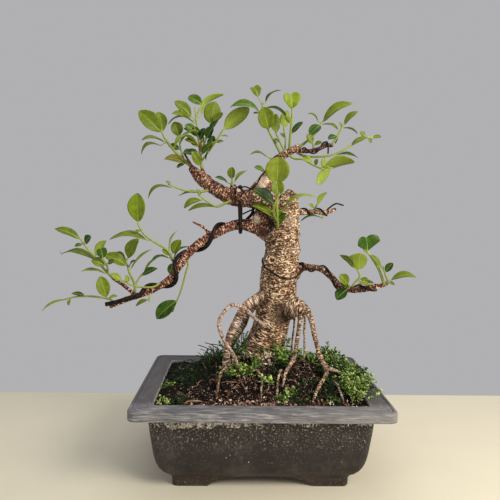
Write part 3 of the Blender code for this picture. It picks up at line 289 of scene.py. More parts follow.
def barkMaterial():
    # Corky fig bark: dry and dull, with pale lenticels over dark clefts, redder on the young branches.
    material, add, coords = newMaterial("figBark")
    tone, ring, along, relief, shadeAndStain = (
        add("Attribute", {"attribute_name": name}, {}, "Fac")
        for name in ("barkTone", "barkRing", "barkAlong", "barkHeight", "barkStain"))
    # Flecks of 3.2 mm round the limb by 1.2 mm along it, and wrinkles of 6 by 1.25 mm: W runs along the limb.
    flecks, rows = (
        add("TexNoise", {"noise_dimensions": "4D"}, {
            "Vector": coords, "W": add("Math", times, [along, mm * wide / tall]), "Scale": 1000 / wide,
            "Detail": 2.0, "Roughness": 0.6})
        for wide, tall in ((3.2, 1.2), (6.0, 1.25)))
    warts = add("TexNoise", {}, {"Vector": coords, "Scale": 1000 / 1.7, "Detail": 2.0, "Roughness": 0.6})
    corky = add("Mix", {}, {0: 0.35, 2: flecks, 3: warts})
    ringed = add("MapRange", softly, [ring, 0.2, 0.9, 0.10, 0.75])
    height = add("Mix", {}, {0: ringed, 2: corky, 3: rows})
    height = add("Math", timesPlus, [relief, 0.05, height])
    trunk, branch, root = (add("ValToRGB", {}, [height], 0, stops) for stops in (
        [(0.42, "#1c0f08"), (0.48, "#523723"), (0.53, "#8a684a"), (0.57, "#cbaa86"), (0.62, "#fbecd3")],
        [(0.42, "#190b06"), (0.485, "#472316"), (0.54, "#78422c"), (0.575, "#bf9070"), (0.62, "#f6dfc6")],
        [(0.40, "#422c22"), (0.46, "#7d6152"), (0.52, "#ab9180"), (0.59, "#d2bfaf"), (0.67, "#ece1d6")]))
    patch = add("TexNoise", {}, {"Vector": coords, "Scale": 1000 / 16})
    leaning = add("Math", timesPlus, [add("Math", minus, [patch, 0.5]), 0.35, tone])
    older, rooty = (add("MapRange", softly, [leaning, *ends]) for ends in ((0.12, 0.50), (0.60, 0.95)))
    low = add("MapRange", softly, [add("SeparateXYZ", {}, [coords], "Z"), 0.132, 0.100, 0.0, 0.5])
    wet = add("Math", times, [low, add("MapRange", softly, [patch, 0.35, 0.6])])
    broken = add("Math", timesPlus, [corky, 1.6, -0.05])
    # The darker places are partly painted shade in hollows and under the limbs, and partly darker bark.
    darker, paler = (
        add("Math", times, [add("MapRange", softly, [shadeAndStain, 0.0, end]), broken]) for end in (1.0, -1.0))
    colour = branch
    for amount, coat in (
            (older, trunk), (rooty, root), (wet, "#33241a"), (darker, "#2c1a10"), (paler, "#f0d9bd")):
        colour = add("Mix", colours, {0: amount, 6: colour, 7: coat}, 2)
    normal = add("Bump", {}, {"Height": height, "Distance": 2.2 * mm, "Strength": 0.8})
    return setShader(material, {"Base Color": colour, "Roughness": 0.85, "IOR": 1.45, "Normal": normal})


def leafMaterial():
    # A leathery fig leaf: smooth waxy upper side, paler dull under side, pale midrib and fine side veins.
    material, add, coords = newMaterial("figLeaf")
    flow = add("Attribute", {"attribute_name": "leafFlow"}, {}, "Vector")
    tint = add("Attribute", {"attribute_name": "leafTint"}, {}, "Color")
    upper = add("Attribute", {"attribute_name": "leafSide"}, {}, "Fac")
    apart = add("SeparateXYZ", {}, [flow]).node.outputs
    off = add("Math", {"operation": "ABSOLUTE"}, [apart["X"]])
    share = add("Math", {"operation": "DIVIDE"}, [apart["Y"], apart["Z"]])
    ribWidth = add("Math", timesPlus, [share, -0.30, 0.48])
    rib = add("MapRange", softly, [add("Math", minus, [off, ribWidth]), 0.15, -0.15])
    # Side veins leave the midrib every 2.4 mm and climb; they are drawn wider than real so that they show.
    climb = add("Math", timesPlus, [off, -0.62, apart["Y"]])
    vein = add("MapRange", softly, [add("Math", {"operation": "PINGPONG"}, [climb, 1.2]), 0.42, 0.08])
    mottle = add("TexNoise", {}, {"Vector": coords, "Scale": 1000 / 5, "Detail": 3.0})
    lit = add("MapRange", softly, [mottle, 0.3, 0.7, 0.0, 0.12])
    dim = add("MapRange", softly, [mottle, 0.7, 0.3, 0.0, 0.25])
    faint, ribbed = (add("Math", times, [line, strength]) for line, strength in ((vein, 0.08), (rib, 0.42)))
    green = tint
    for amount, coat in ((lit, "#93ab2e"), (dim, "#16330c"), (faint, "#a8ba50")):
        green = add("Mix", colours, {0: amount, 6: green, 7: coat}, 2)
    under = add("Mix", colours, {0: 0.3, 6: green, 7: "#8d9c3c"}, 2)
    green = add("Mix", colours, {0: upper, 6: under, 7: green}, 2)
    green = add("Mix", colours, {0: ribbed, 6: green, 7: "#b5c468"}, 2)
    dull = add("MapRange", softly, [upper, 0.0, 1.0, 0.62, 0.40])
    relief = add("Math", timesPlus, [vein, -0.12, add("Math", times, [mottle, 0.3])])
    relief = add("Math", minus, [relief, rib])
    normal = add("Bump", {}, {"Height": relief, "Distance": 0.16 * mm, "Strength": 0.3})
    return setShader(material, {
        "Base Color": green, "Roughness": dull, "IOR": 1.45, "Normal": normal, "Specular IOR Level": 0.22,
        "Subsurface Weight": 0.05, "Subsurface Scale": 1.2 * mm, "Subsurface Radius": leafGlow})


def potMaterial():
    # Moulded polypropylene, sun-dulled: matte cloudy grey-brown, lime crust under the rim and dusty feet.
    material, add, coords = newMaterial("mouldedPolypropylene")
    apart = add("SeparateXYZ", {}, [coords]).node.outputs
    height = add("Math", times, [apart["Z"], 1000.0])
    cloud, speck, patch, crumbs, holes = (
        add("TexNoise", {}, {"Vector": coords, "Scale": 1000 / size, "Detail": detail, "Roughness": rough})
        for size, detail, rough in (
            (26, 4.0, 0.6), (2.2, 4.0, 0.7), (24, 3.0, 0.6), (2.0, 4.0, 0.75), (5, 4.0, 0.7)))
    base = add("ValToRGB", {}, [cloud], 0, [(0.32, "#171110"), (0.50, "#241c1a"), (0.66, "#3c3230")])
    flecked = add("MapRange", softly, [speck, 0.55, 0.68, 0.0, 0.3])
    low = add("MapRange", softly, [height, 24.0, 2.0, 0.0, 0.5])
    dusty = add("Math", times, [low, add("MapRange", softly, [speck, 0.42, 0.62])])
    # The crust is thick in a band of about 11 mm under the rim and thins out below it, less so to the left.
    leftward = add("MapRange", softly, [apart["X"], 0.03, -0.03, 0.0, 0.10])
    deepest = add("Math", timesPlus, [leftward, -30.0, 87.0])
    lowEdge = add("Math", timesPlus, [patch, -38.0, deepest])
    band = add("MapRange", softly, [add("Math", minus, [height, lowEdge]), -9.0, 8.0])
    thick = add("MapRange", softly, [height, 65.0, 71.0, 0.0, 0.10])
    caked = add("Math", plus, [add("Math", plus, [crumbs, leftward]), thick])
    crust = add("MapRange", softly, [add("Math", times, [caked, band]), 0.465, 0.51])
    for pattern, start, end in ((height, 80.5, 78.5), (holes, 0.43, 0.50)):
        crust = add("Math", times, [crust, add("MapRange", softly, [pattern, start, end])])
    dripped = add("MapRange", softly, [crumbs, 0.56, 0.62, 0.0, 0.75])
    drips = add("Math", times, [dripped, add("MapRange", softly, [height, 34.0, 80.0])])
    spots = add("TexVoronoi", {}, {"Vector": coords, "Scale": 1000 / 10})
    for more in (drips, add("MapRange", softly, [spots, 0.06, 0.04])):
        crust = add("Math", {"operation": "MAXIMUM"}, [crust, more])
    tone = add("ValToRGB", {}, [crumbs], 0, [(0.42, "#7f7768"), (0.50, "#b8af9e"), (0.58, "#ebe5d8")])
    colour = base
    for amount, coat in ((flecked, "#6d6763"), (dusty, "#5c4a3a"), (crust, tone)):
        colour = add("Mix", colours, {0: amount, 6: colour, 7: coat}, 2)
    dull = add("MapRange", softly, [crust, 0.0, 1.0, 0.58, 0.9])
    relief = add("Math", timesPlus, [speck, 0.25, crust])
    normal = add("Bump", {}, {"Height": relief, "Distance": 0.5 * mm, "Strength": 0.8})
    return setShader(material, {"Base Color": colour, "Roughness": dull, "IOR": 1.49, "Normal": normal})


def rimMaterial():
    # The same plastic where sun and handling have greyed it: long streaks along the rim and chalky specks.
    material, add, coords = newMaterial("weatheredPolypropylene")
    flow = add("Attribute", {"attribute_name": "potFlow"}, {}, "Vector")
    groove = add("Attribute", {"attribute_name": "rimGroove"}, {}, "Fac")
    drawn, wide = (add("Mapping", {}, {"Vector": flow, "Scale": (1 / long, 1 / tall, 0)})
                   for long, tall in ((13, 1.6), (24, 7)))
    streak = add("TexNoise", {}, {"Vector": drawn, "Scale": 1.0, "Detail": 5.0, "Roughness": 0.65})
    wash = add("TexNoise", {}, {"Vector": wide, "Scale": 1.0, "Detail": 3.0})
    speck = add("TexNoise", {}, {"Vector": coords, "Scale": 1000 / 1.6, "Detail": 4.0, "Roughness": 0.7})
    stains = add("TexVoronoi", {}, {"Vector": coords, "Scale": 1000 / 16})
    place, walked = (add("SeparateXYZ", {}, [source]).node.outputs for source in (coords, flow))
    # Painted shade darkens the rim's top, less so along the front. Lime whitens the inner edge in patches.
    # Soil stains it here and there, and painted shade lies as a dark line in the fold behind the rolled
    # edge.
    topShadeDepth = add("MapRange", softly, [place["Y"], -0.085, -0.070, 0.22, 0.84])
    paintedTopShade = add("Math", times, [topShadeDepth, add("MapRange", softly, [walked["Z"], 88.2, 89.4])])
    limed = add("MapRange", softly, [speck, 0.46, 0.56, 0.0, 0.8])
    limed = add("Math", times, [limed, add("MapRange", softly, [walked["Y"], 147.0, 149.5])])
    # Painted light makes the rim paler towards the right.
    washed, chalky, paintedLightRight, stained, paintedGrooveShade = (add("MapRange", softly, ends) for ends in (
        [wash, 0.44, 0.60, 0.0, 0.5], [speck, 0.62, 0.70, 0.0, 0.6], [place["X"], 0.02, 0.16, 0.0, 0.35],
        [stains, 0.09, 0.05, 0.0, 0.8], [groove, 0.0, 1.0, 0.0, 0.8]))
    colour = add("ValToRGB", {}, [streak], 0, [
        (0.34, "#48484d"), (0.45, "#69696e"), (0.55, "#8f8d90"), (0.67, "#b6b2ad")])
    # The top's darker coat and the groove's dark line are painted shade.
    for amount, coat in (
            (washed, "#47474d"), (chalky, "#b1aca0"), (paintedLightRight, "#8d8984"), (paintedTopShade, "#3c3a3b"),
            (limed, "#b9b4a8"), (stained, "#2a2522"), (paintedGrooveShade, "#1b1a1b")):
        colour = add("Mix", colours, {0: amount, 6: colour, 7: coat}, 2)
    dull = add("MapRange", softly, [streak, 0.3, 0.7, 0.48, 0.72])
    relief = add("Math", plus, [streak, speck])
    normal = add("Bump", {}, {"Height": relief, "Distance": 0.4 * mm, "Strength": 0.7})
    return setShader(material, {"Base Color": colour, "Roughness": dull, "IOR": 1.49, "Normal": normal})


# The plainer materials. A pattern is its kind, size in mm and inputs, or an attribute's name and output. The
# colour starts from a pattern and its ramp, or is one colour. Each coat covers it as a pattern goes from one
# value to another, up to the most it may cover. A bump is its pattern, depth in mm and strength.
layers = {
    # A young green stem: juicy and faintly streaked with brown.
    "greenStem": {
        "patterns": {"tint": ("leafTint", "Color"), "streak": ("TexNoise", 2.5, {})},
        "colour": "tint", "coats": [("streak", 0.4, 0.7, 0.35, "#7d6a34")], "bump": ("streak", 0.15, 0.4),
        "shader": {"Roughness": 0.45, "IOR": 1.45, "Subsurface Weight": 0.1, "Subsurface Scale": 1.0 * mm}},
    # Anodised aluminium wire, brown-black: a metal under a dark skin, softly shiny, with faint dust.
    "anodisedWire": {
        "patterns": {"dust": ("TexNoise", 3, {"Detail": 3.0})},
        "colour": "dust", "ramp": [(0.40, "#17120f"), (0.60, "#2b231e"), (0.75, "#463a32")],
        "bump": ("dust", 0.08, 0.4), "dull": ("dust", 0.3, 0.7, 0.34, 0.58), "shader": {"Metallic": 0.75}},
    # Moist potting soil: nearly black peat with brown bark crumbs and a little pale sand.
    "moistPeat": {
        "patterns": {"crumbs": ("TexNoise", 2.2, {"Detail": 5.0, "Roughness": 0.7}),
                     "patch": ("TexNoise", 22, {"Detail": 3.0}), "sand": ("TexVoronoi", 4.2, {})},
        "colour": "crumbs",
        "ramp": [(0.38, "#030201"), (0.53, "#0a0604"), (0.63, "#20150e"), (0.72, "#634c3b")],
        "coats": [("patch", 0.50, 0.68, 0.2, "#2e2018"), ("sand", 0.16, 0.10, 1.0, "#a88b69")],
        "bump": ("crumbs", 1.0, 1.0), "shader": {"Roughness": 0.9, "IOR": 1.45, "Specular IOR Level": 0.2}},
    # Fired clay grit and bark chips: dry, from chestnut to cream.
    "clayGrit": {
        "patterns": {"tone": ("tone", "Fac"), "dust": ("TexNoise", 1.2, {"Detail": 3.0})},
        "colour": "tone", "ramp": [
            (0.05, "#0a0503"), (0.35, "#22150f"), (0.60, "#644231"), (0.80, "#bc987c"), (1.0, "#f2e3d2")],
        "coats": [("dust", 0.45, 0.7, 0.45, "#3c281b")],
        "bump": ("dust", 0.3, 0.8), "shader": {"Roughness": 0.85, "IOR": 1.5, "Specular IOR Level": 0.25}},
    # Dry rootlets: papery and tan, with darker joints.
    "dryRootlet": {
        "patterns": {"joints": ("TexNoise", 9, {"Detail": 3.0})},
        "colour": "joints",
        "ramp": [(0.36, "#26160f"), (0.48, "#5e3f30"), (0.60, "#a3806a"), (0.70, "#d3bba4")],
        "bump": ("joints", 0.2, 0.5), "shader": {"Roughness": 0.8, "IOR": 1.45}},
    # A cushion of moss: deep green with olive and brown tufts, quite dull.
    "moss": {
        "patterns": {"tufts": ("TexNoise", 1.8, {"Detail": 4.0, "Roughness": 0.7}),
                     "patch": ("TexNoise", 14, {"Detail": 2.0})},
        "colour": "tufts",
        "ramp": [(0.36, "#050703"), (0.48, "#0c1306"), (0.60, "#18240c"), (0.74, "#3a4d1b")],
        "coats": [("patch", 0.50, 0.68, 0.55, "#1c130c")],
        "bump": ("tufts", 1.2, 1.0), "shader": {"Roughness": 0.9, "IOR": 1.45, "Specular IOR Level": 0.2}},
    # Tiny creeping plants: thin soft leaves that glow a little, from bright to deep green.
    "creepingSprig": {
        "patterns": {"tone": ("tone", "Fac"), "mottle": ("TexNoise", 3, {"Detail": 2.0})},
        "colour": "tone", "ramp": [
            (0.0, "#0a1407"), (0.25, "#1e3610"), (0.5, "#44661c"), (0.75, "#7b963c"), (1.0, "#bccd78")],
        "coats": [("mottle", 0.45, 0.7, 0.3, "#35501a")],
        "bump": ("mottle", 0.2, 0.4), "shader": {
            "Roughness": 0.5, "IOR": 1.45, "Subsurface Weight": 0.1, "Subsurface Scale": 0.8 * mm,
            "Subsurface Radius": leafGlow}},
    # A painted table top: pale, matte and a little uneven.
    "paintedBoard": {
        "patterns": {"cloud": ("TexNoise", 60, {"Detail": 3.0})},
        "colour": studio["floorColour"], "coats": [("cloud", 0.3, 0.7, 0.1, "#c9c3b2")],
        "shader": {"Roughness": 0.75}},
}


def layeredMaterial(name):
    look = layers[name]
    material, add, coords = newMaterial(name)
    found = {}
    for key, (kind, size, *more) in look["patterns"].items():
        if more:
            found[key] = add(kind, {}, {"Vector": coords, "Scale": 1000 / size, **more[0]})
        else:
            found[key] = add("Attribute", {"attribute_name": kind}, {}, size)
    colour = found.get(look["colour"], look["colour"])
    if "ramp" in look:
        colour = add("ValToRGB", {}, [colour], 0, look["ramp"])
    for pattern, start, end, most, coat in look.get("coats", []):
        amount = add("MapRange", softly, [found[pattern], start, end, 0.0, most])
        colour = add("Mix", colours, {0: amount, 6: colour, 7: coat}, 2)
    shader = {"Base Color": colour, **look["shader"]}
    if "dull" in look:
        pattern, *ends = look["dull"]
        shader["Roughness"] = add("MapRange", softly, [found[pattern], *ends])
    if "bump" in look:
        pattern, depth, strength = look["bump"]
        shader["Normal"] = add("Bump", {}, {
            "Height": found[pattern], "Distance": depth * mm, "Strength": strength})
    return setShader(material, shader)


# Each limb: its bark's tone from 0 (dark red-brown branch) to 1 (pale root), how ringed it is, its course.
limbs = {
    "trunk": (0.56, 0.3, [
        (-1, 13, 92, 25), (2, 12, 108, 24), (5, 11, 124, 22.5), (11, 10, 142, 21), (15, 8.5, 160, 20.2),
        (17, 7, 176, 20.8), (20, 6, 192, 21.4), (20.5, 5, 208, 21.2), (22, 4, 224, 20.2),
        (24, 4, 240, 19.3), (23, 4, 255, 19.8), (24, 5, 268, 19.2), (26, 6, 282, 16.5), (30, 7, 296, 12.5),
        (36, 8, 306, 7.5)]),
    "trunkRidge": (0.6, 0.8, [
        (-14, 3, 96, 13), (-10, 1, 112, 11), (-3, -1, 130, 9.5), (5, -3, 150, 8), (11, -5, 168, 7),
        (17, -6, 186, 6)]),
    "crownLimb": (0.14, 0.15, [
        (24, 6, 276, 14), (12, 7, 290, 12.5), (-4, 8, 297, 11), (-20, 12, 299, 9.8), (-36, 16, 300, 9),
        (-55, 20, 310, 8.2), (-71, 24, 321, 7.0), (-79, 27, 329, 5.2), (-84, 28, 334.5, 3.4)]),
    "crownTwigC": (0.0, 0.2, [
        (-82, 28, 333, 2.2), (-86, 27, 341, 1.6), (-90, 27, 348, 1.3), (-93, 27, 353, 0.9)]),
    "crownStubC": (0.4, 0.1, [(-27, 12, 301, 3.2), (-27.3, 6, 306, 2.6), (-27.4, 3, 307.6, 2.4)]),
    "crownTwigA": (0.1, 0.2, [(-66, 21, 318, 3.6), (-68.5, 22.5, 326, 2.8), (-70, 23, 333, 2.2)]),
    "crownStubA": (0.25, 0.2, [(-62, 21, 314, 3.6), (-66, 14, 318, 3.2), (-68, 9, 321, 2.8)]),
    "crownStubB": (0.3, 0.2, [(-34, 15, 302, 4), (-33, 12, 311, 3.4), (-33, 11, 314, 3)]),
    "topLimb": (0.34, 0.2, [
        (-8, 9, 298, 11.5), (0, 10, 311, 11), (7, 11.5, 323, 8.6), (11.5, 12, 332, 6.4), (15, 12, 341, 5),
        (24, 10, 349, 4.4), (33, 8, 354, 4), (41, 6, 359, 3.4)]),
    "topTwig": (0.05, 0.2, [
        (36, 7, 355, 2.8), (48, 4, 353, 2.4), (57, 0, 354, 2.3), (64, -4, 356, 2.3), (70, -6, 359, 2.5),
        (77, -8, 358, 1.8)]),
    "leftLimb": (0.12, 0.2, [
        (8, 4, 262, 13), (-2, 2, 266, 10.5), (-13, 0, 268, 7.6), (-24, -3, 269, 5.8), (-35, -6, 267, 5.2),
        (-45, -9, 262, 4.9), (-56, -12, 256, 4.8), (-66, -15, 250, 4.6), (-76, -18, 242, 4.5),
        (-85, -20, 232, 4.4), (-92, -23, 221, 4.2), (-99, -25, 210, 3.9), (-111, -28, 201, 3.6),
        (-128, -32, 193, 3.2), (-146, -36, 187, 2.9), (-162, -40, 180, 2.3)]),
    "leftTwig": (0.15, 0.2, [(-136, -33, 191, 2), (-147, -38, 202, 1.9), (-159, -43, 211, 1.5)]),
    "deadTwig": (0.0, 0.1, [(-59, -12, 256, 2), (-64, -13, 264, 1.6), (-77, -18, 271, 1.1)]),
    "rightTwig": (0.4, 0.2, [
        (30, 8, 284, 5), (42, 10, 284, 3.6), (52, 14, 284, 3), (63, 18, 285, 2.8), (73, 22, 284, 2.6),
        (82, 25, 286, 2.4), (89, 27, 289, 1.8)]),
    "rightLimb": (-0.04, 0.2, [
        (30, 3, 212, 9), (40, 2, 217, 6.0), (48, 0, 221, 4.1), (57, -2, 221.5, 3.5), (65.5, -4, 220.5, 3.4),
        (72, -7, 217.5, 3.4), (79, -11, 211.5, 3.4), (85, -15, 204.5, 3.5), (93, -20, 200, 3.5),
        (101, -24, 199.5, 3.5), (108, -27, 200.5, 3.4), (115, -30, 202, 3.4), (122, -34, 204.5, 3),
        (128, -37, 206, 2.4)]),
    "rightTip": (0.34, 0.2, [(124, -35, 205, 2.5), (130, -37.4, 206.6, 2.1), (135, -39, 209.6, 1.5)]),
    "rootLeft": (0.76, 0.8, [
        (12, 2, 192, 10), (3, -1, 187, 7.6), (-5, -6, 184, 6), (-14, -12, 180, 5), (-21, -18, 173, 4.6),
        (-26, -21, 165, 4.2), (-31, -24, 155, 4), (-35, -26, 145, 3.9), (-37, -27, 132, 3.9),
        (-38, -28, 118, 4), (-40, -29, 98, 4)]),
    "rootBehind": (0.56, 0.8, [
        (0, 10, 182, 6), (-8, 16, 172, 4), (-14, 21, 162, 3.6), (-19, 24, 148, 3.6), (-26, 26, 136, 3.6),
        (-33, 28, 122, 3.4), (-37, 30, 102, 3.4)]),
    "rootLoop": (1.02, 0.1, [
        (6, -6, 152, 3), (-1, -16, 160, 2.3), (-9, -25, 168, 2.1), (-17, -32, 177, 2), (-25, -36, 182, 2),
        (-33, -38, 183, 2), (-40, -40, 177, 2), (-45, -41, 169, 2), (-46, -41, 160, 2), (-43, -41, 151, 2),
        (-39, -41, 143, 2), (-34, -40, 135, 2), (-29, -39, 127, 2.1), (-26, -34, 116, 2.1),
        (-25, -24, 107, 2), (-25, -16, 98, 2)]),
    "rootSurfaceA": (0.6, 0.2, [
        (-22, -12, 119, 1.9), (-27, -20, 121, 1.8), (-36, -27, 116, 1.7), (-42.5, -34, 109, 1.7),
        (-45, -41, 102.5, 1.6), (-46.2, -49, 95, 1.5), (-47, -56, 88, 1.4)]),
    "knob": (0.68, 0.9, [(26, 2, 178, 15), (37, -1, 176, 12), (45, -4, 174, 8.5), (51, -6, 171, 5)]),
    "rootStraight": (0.74, 0.2, [
        (44, -4, 174, 5.5), (45, -8, 163, 2.8), (43.5, -10, 151, 2.4), (41.5, -11, 138, 2.3),
        (39.5, -13, 125, 2.3), (36.5, -16, 117.5, 2.9), (32, -24, 113.5, 2.2), (27.5, -33, 109, 1.9),
        (24.5, -42, 103, 1.7), (22.5, -48, 97, 1.2)]),
    "rootThin": (0.86, 0.1, [
        (49, -2, 171, 2.2), (52, 3, 160, 1.4), (52, 7, 145, 1.25), (53, 9, 130, 1.25), (53, 9, 116, 1.3),
        (52, 9, 100, 1.3)]),
    "rootFork": (0.7, 0.3, [
        (45, -4, 178, 6.6), (52, -9, 173, 4.2), (57, -13, 162, 2.8), (60, -17, 148, 2.6),
        (64, -21, 132, 2.6), (67, -24, 122, 2.8), (71, -27, 114, 2.8), (73, -30, 109, 2.4),
        (68, -38, 103, 2.1), (62, -46, 98, 1.9), (56, -58, 92, 1.7), (52, -66, 86, 1.4)]),
    "rootForkSide": (0.84, 0.2, [
        (70, -27, 115, 2.6), (78, -27, 111, 2.1), (87, -25, 107, 1.9), (94, -22, 98, 1.7)]),
    "rootGhost": (0.7, 0.1, [
        (36, 6, 172, 3), (41, 15, 158, 1.5), (41, 21, 142, 1.25), (40, 24, 127, 1.25), (40, 26, 105, 1.3)]),
    "surfaceB": (0.72, 0.2, [
        (25, -26, 108, 1.0), (21.5, -33, 111, 1.4), (18.8, -42, 107.4, 1.4), (17, -50, 102, 1.3),
        (16.4, -57, 96.5, 1.4), (15, -66, 90, 1.1)]),
    "surfaceC": (0.8, 0.2, [
        (-18, -20, 110, 1.0), (-13.7, -27, 112.6, 1.3), (-8, -31, 111.6, 1.4), (-3.5, -36, 110.6, 1.4),
        (0, -43, 107.4, 1.3), (0.6, -49, 102.6, 1.2), (-0.4, -56.5, 97, 1.2), (-1, -64, 90, 1.0)]),
    "rootSmall": (0.85, 0.1, [
        (75, -26, 98, 1.0), (80, -34, 100, 1.4), (83.4, -41, 96, 1.4), (84.4, -53, 92.5, 1.3),
        (84.8, -63, 88, 1.0)]),
}

burls = {
    "trunkScar": (10, -10, 228, 7.5),
    "rightCollar": (37, 2, 214, 8.5),
    "twigCollar": (36, 8, 286, 6.5),
    "kneeCollar": (33, -7, 172, 10),
    "crownKnee": (-66, 21, 318, 8.2),
    "leftCollar": (2, 3, 277, 13),
    "flareRight": (14, 4, 108, 17),
    "nubHigh": (42, 3, 258, 2.4),
    "nubLow": (42.5, 3, 240.5, 2.6),
}

barkRelief = {
    "sides": 20, "station": 1.5,  # of each limb before they are melted into one skin
    "voxel": 1.02, "smoothing": 3, "regrow": 0.22, "thick": 9.0,  # limbs of this radius have the full relief
    "grain": 2.8, "fineGrain": 0.6, "grainDepth": 0.6, "grainLeast": 0.35,  # corky warts
    "lump": 9.0, "lumpDepth": 1.0,
    "ring": 2.5, "ringDepth": 0.45, "ringFull": 4.0, "waver": 2.4, "waverSize": 7.0,  # wrinkles round roots
    "ringShare": 0.6, "breakSize": 5.0,
    "footTop": 190.0, "footFade": 60.0, "footRing": 0.55, "footThick": 12.0,  # lower thick limbs are ringed
    "scar": (10.9, -16, 230.2), "scarReach": 8.5, "scarRing": 3.6, "scarWave": 0.9, "scarPit": (2.5, 1.6),
    "shadeAndStainEdge": 1.6,
}

# Darker (above 0) and paler (below 0) places on the bark: middle, reach and strength. The darker ones
# are partly painted shade, in the knob's hollow and under the limbs, and partly darker bark; the paler
# ones include the pale cut wood of a stub.
barkShadeAndStains = [
    (24, -14, 170, 20, 0.85), (1.2, -8, 181, 9, 0.8), (34, -8, 160, 14, 0.5), (34, -2, 304, 10, 0.45),
    (52, -10, 176, 8, 0.45), (6, -10, 257, 13, 0.55), (0, -6, 261, 8, 0.6), (-8, 2, 292, 9, 0.6),
    (-30, 8, 292, 12, 0.4), (12, -14, 150, 10, 0.35), (33, -12, 274, 13, -0.35), (36, -12, 241, 9, -0.3),
    (60, -3, 221, 16, 0.5), (82, -13, 209, 14, 0.5), (106, -26, 200, 18, 0.6), (56, -1, 354, 14, 0.6),
    (71, -6, 358, 11, 0.7), (-2, 2, 318, 11, -0.9), (-14, 6, 314, 7, 0.6), (-7, -8, 275, 7, -0.9),
    (10.9, -18, 230.2, 3, 0.7), (-27.4, 2, 308.5, 4, -1.6), (14, -20, 118, 12, -0.4),
    (-10, -14, 112, 12, -0.3), (32, -9, 292, 7, 0.5)
]


def nearestLimb(points):
    # For each point of the skin: its limb's radius, how far along the limb it is, its tone and its rings.
    station, batch = barkRelief["station"], 2000
    middles, facts, aims = [], [], []
    for tone, ring, course in limbs.values():
        line = smoothCourse(course, station)
        for i, (where, radius) in enumerate(line):
            middles.append(where)
            aims.append((line[min(i + 1, len(line) - 1)][0] - line[max(i - 1, 0)][0]).normalized())
            facts.append((radius, station * i, tone, ring))
    middles, aims, facts = np.array(middles), np.array(aims), np.array(facts)
    found = np.empty((len(points), 4))
    for start in range(0, len(points), batch):
        some = points[start:start + batch]
        gaps = np.linalg.norm(some[:, None, :] - middles[None, :, :], axis=2) - facts[None, :, 0]
        best = gaps.argmin(axis=1)
        found[start:start + batch] = facts[best]
        found[start:start + batch, 1] += ((some - middles[best]) * aims[best]).sum(axis=1)
    return found


def makeTree(bark):
    relief = barkRelief
    lines = [smoothCourse(course, relief["station"]) for tone, ring, course in limbs.values()]
    work = opened(tubes("skin", lines, relief["sides"]))
    for x, y, z, radius in burls.values():
        bmesh.ops.create_icosphere(work, subdivisions=4, radius=radius, matrix=Matrix.Translation((x, y, z)))
    skin = asObject("skin", asMesh(work, "skin"))
    melt = skin.modifiers.new("melt", "REMESH")
    melt.mode = "VOXEL"
    melt.voxel_size = relief["voxel"]
    work = opened(evaluated(skin))
    for i in range(relief["smoothing"]):
        bmesh.ops.smooth_vert(
            work, verts=work.verts, factor=0.5, use_axis_x=True, use_axis_y=True, use_axis_z=True)
    work.normal_update()
    found = nearestLimb(np.array([v.co for v in work.verts]))
    names = ("barkTone", "barkRing", "barkAlong", "barkHeight", "barkStain")
    attributes = [work.verts.layers.float.new(name) for name in names]
    spots = [(Vector(row[:3]), row[3], row[4]) for row in barkShadeAndStains]
    scar, (pit, pitDepth) = Vector(relief["scar"]), relief["scarPit"]
    turn = 2 * math.pi
    for vertex, (radius, along, tone, ring) in zip(work.verts, found):
        p = vertex.co
        thin = min(1.0, radius / relief["thick"])
        foot = relief["footRing"] * clamp((relief["footTop"] - p.z) / relief["footFade"])
        ring = max(ring, foot) if radius > relief["footThick"] else ring
        waver = noise.noise(p / relief["waverSize"]) * relief["waver"]
        wrinkle = math.sin(along * turn / relief["ring"] + waver)
        wrinkle *= relief["ringShare"] + noise.noise(p / relief["breakSize"])
        wart = noise.noise(p / relief["grain"])
        wart += 0.5 * noise.noise(p / (relief["grain"] * relief["fineGrain"]))
        least = relief["grainLeast"]
        lift = relief["regrow"] + relief["grainDepth"] * wart * (least + (1 - least) * thin)
        lift += relief["lumpDepth"] * noise.noise(p / relief["lump"]) * thin
        lift += relief["ringDepth"] * wrinkle * ring * min(1.0, radius / relief["ringFull"])
        away = (p - scar).length
        shadeAndStain = 0.0
        if away < relief["scarReach"]:
            fade = 1 - away / relief["scarReach"]
            wave = relief["scarWave"] * math.cos(away * turn / relief["scarRing"])
            lift += fade * (wave - (pitDepth if away < pit else 0))
            shadeAndStain = -fade * wave
        # Darker places are partly painted shade in hollows and under the limbs, and partly darker bark.
        for middle, reach, strength in spots:
            near = 1 - (p - middle).length / reach
            shadeAndStain += strength * min(1.0, near * relief["shadeAndStainEdge"]) if near > 0 else 0
        for attribute, value in zip(attributes, (tone, ring, along, lift, shadeAndStain)):
            vertex[attribute] = value
        vertex.co = p + vertex.normal * lift
    return placePiece("banyanWood", asMesh(work, "banyanWood"), [bark], ("tree",))


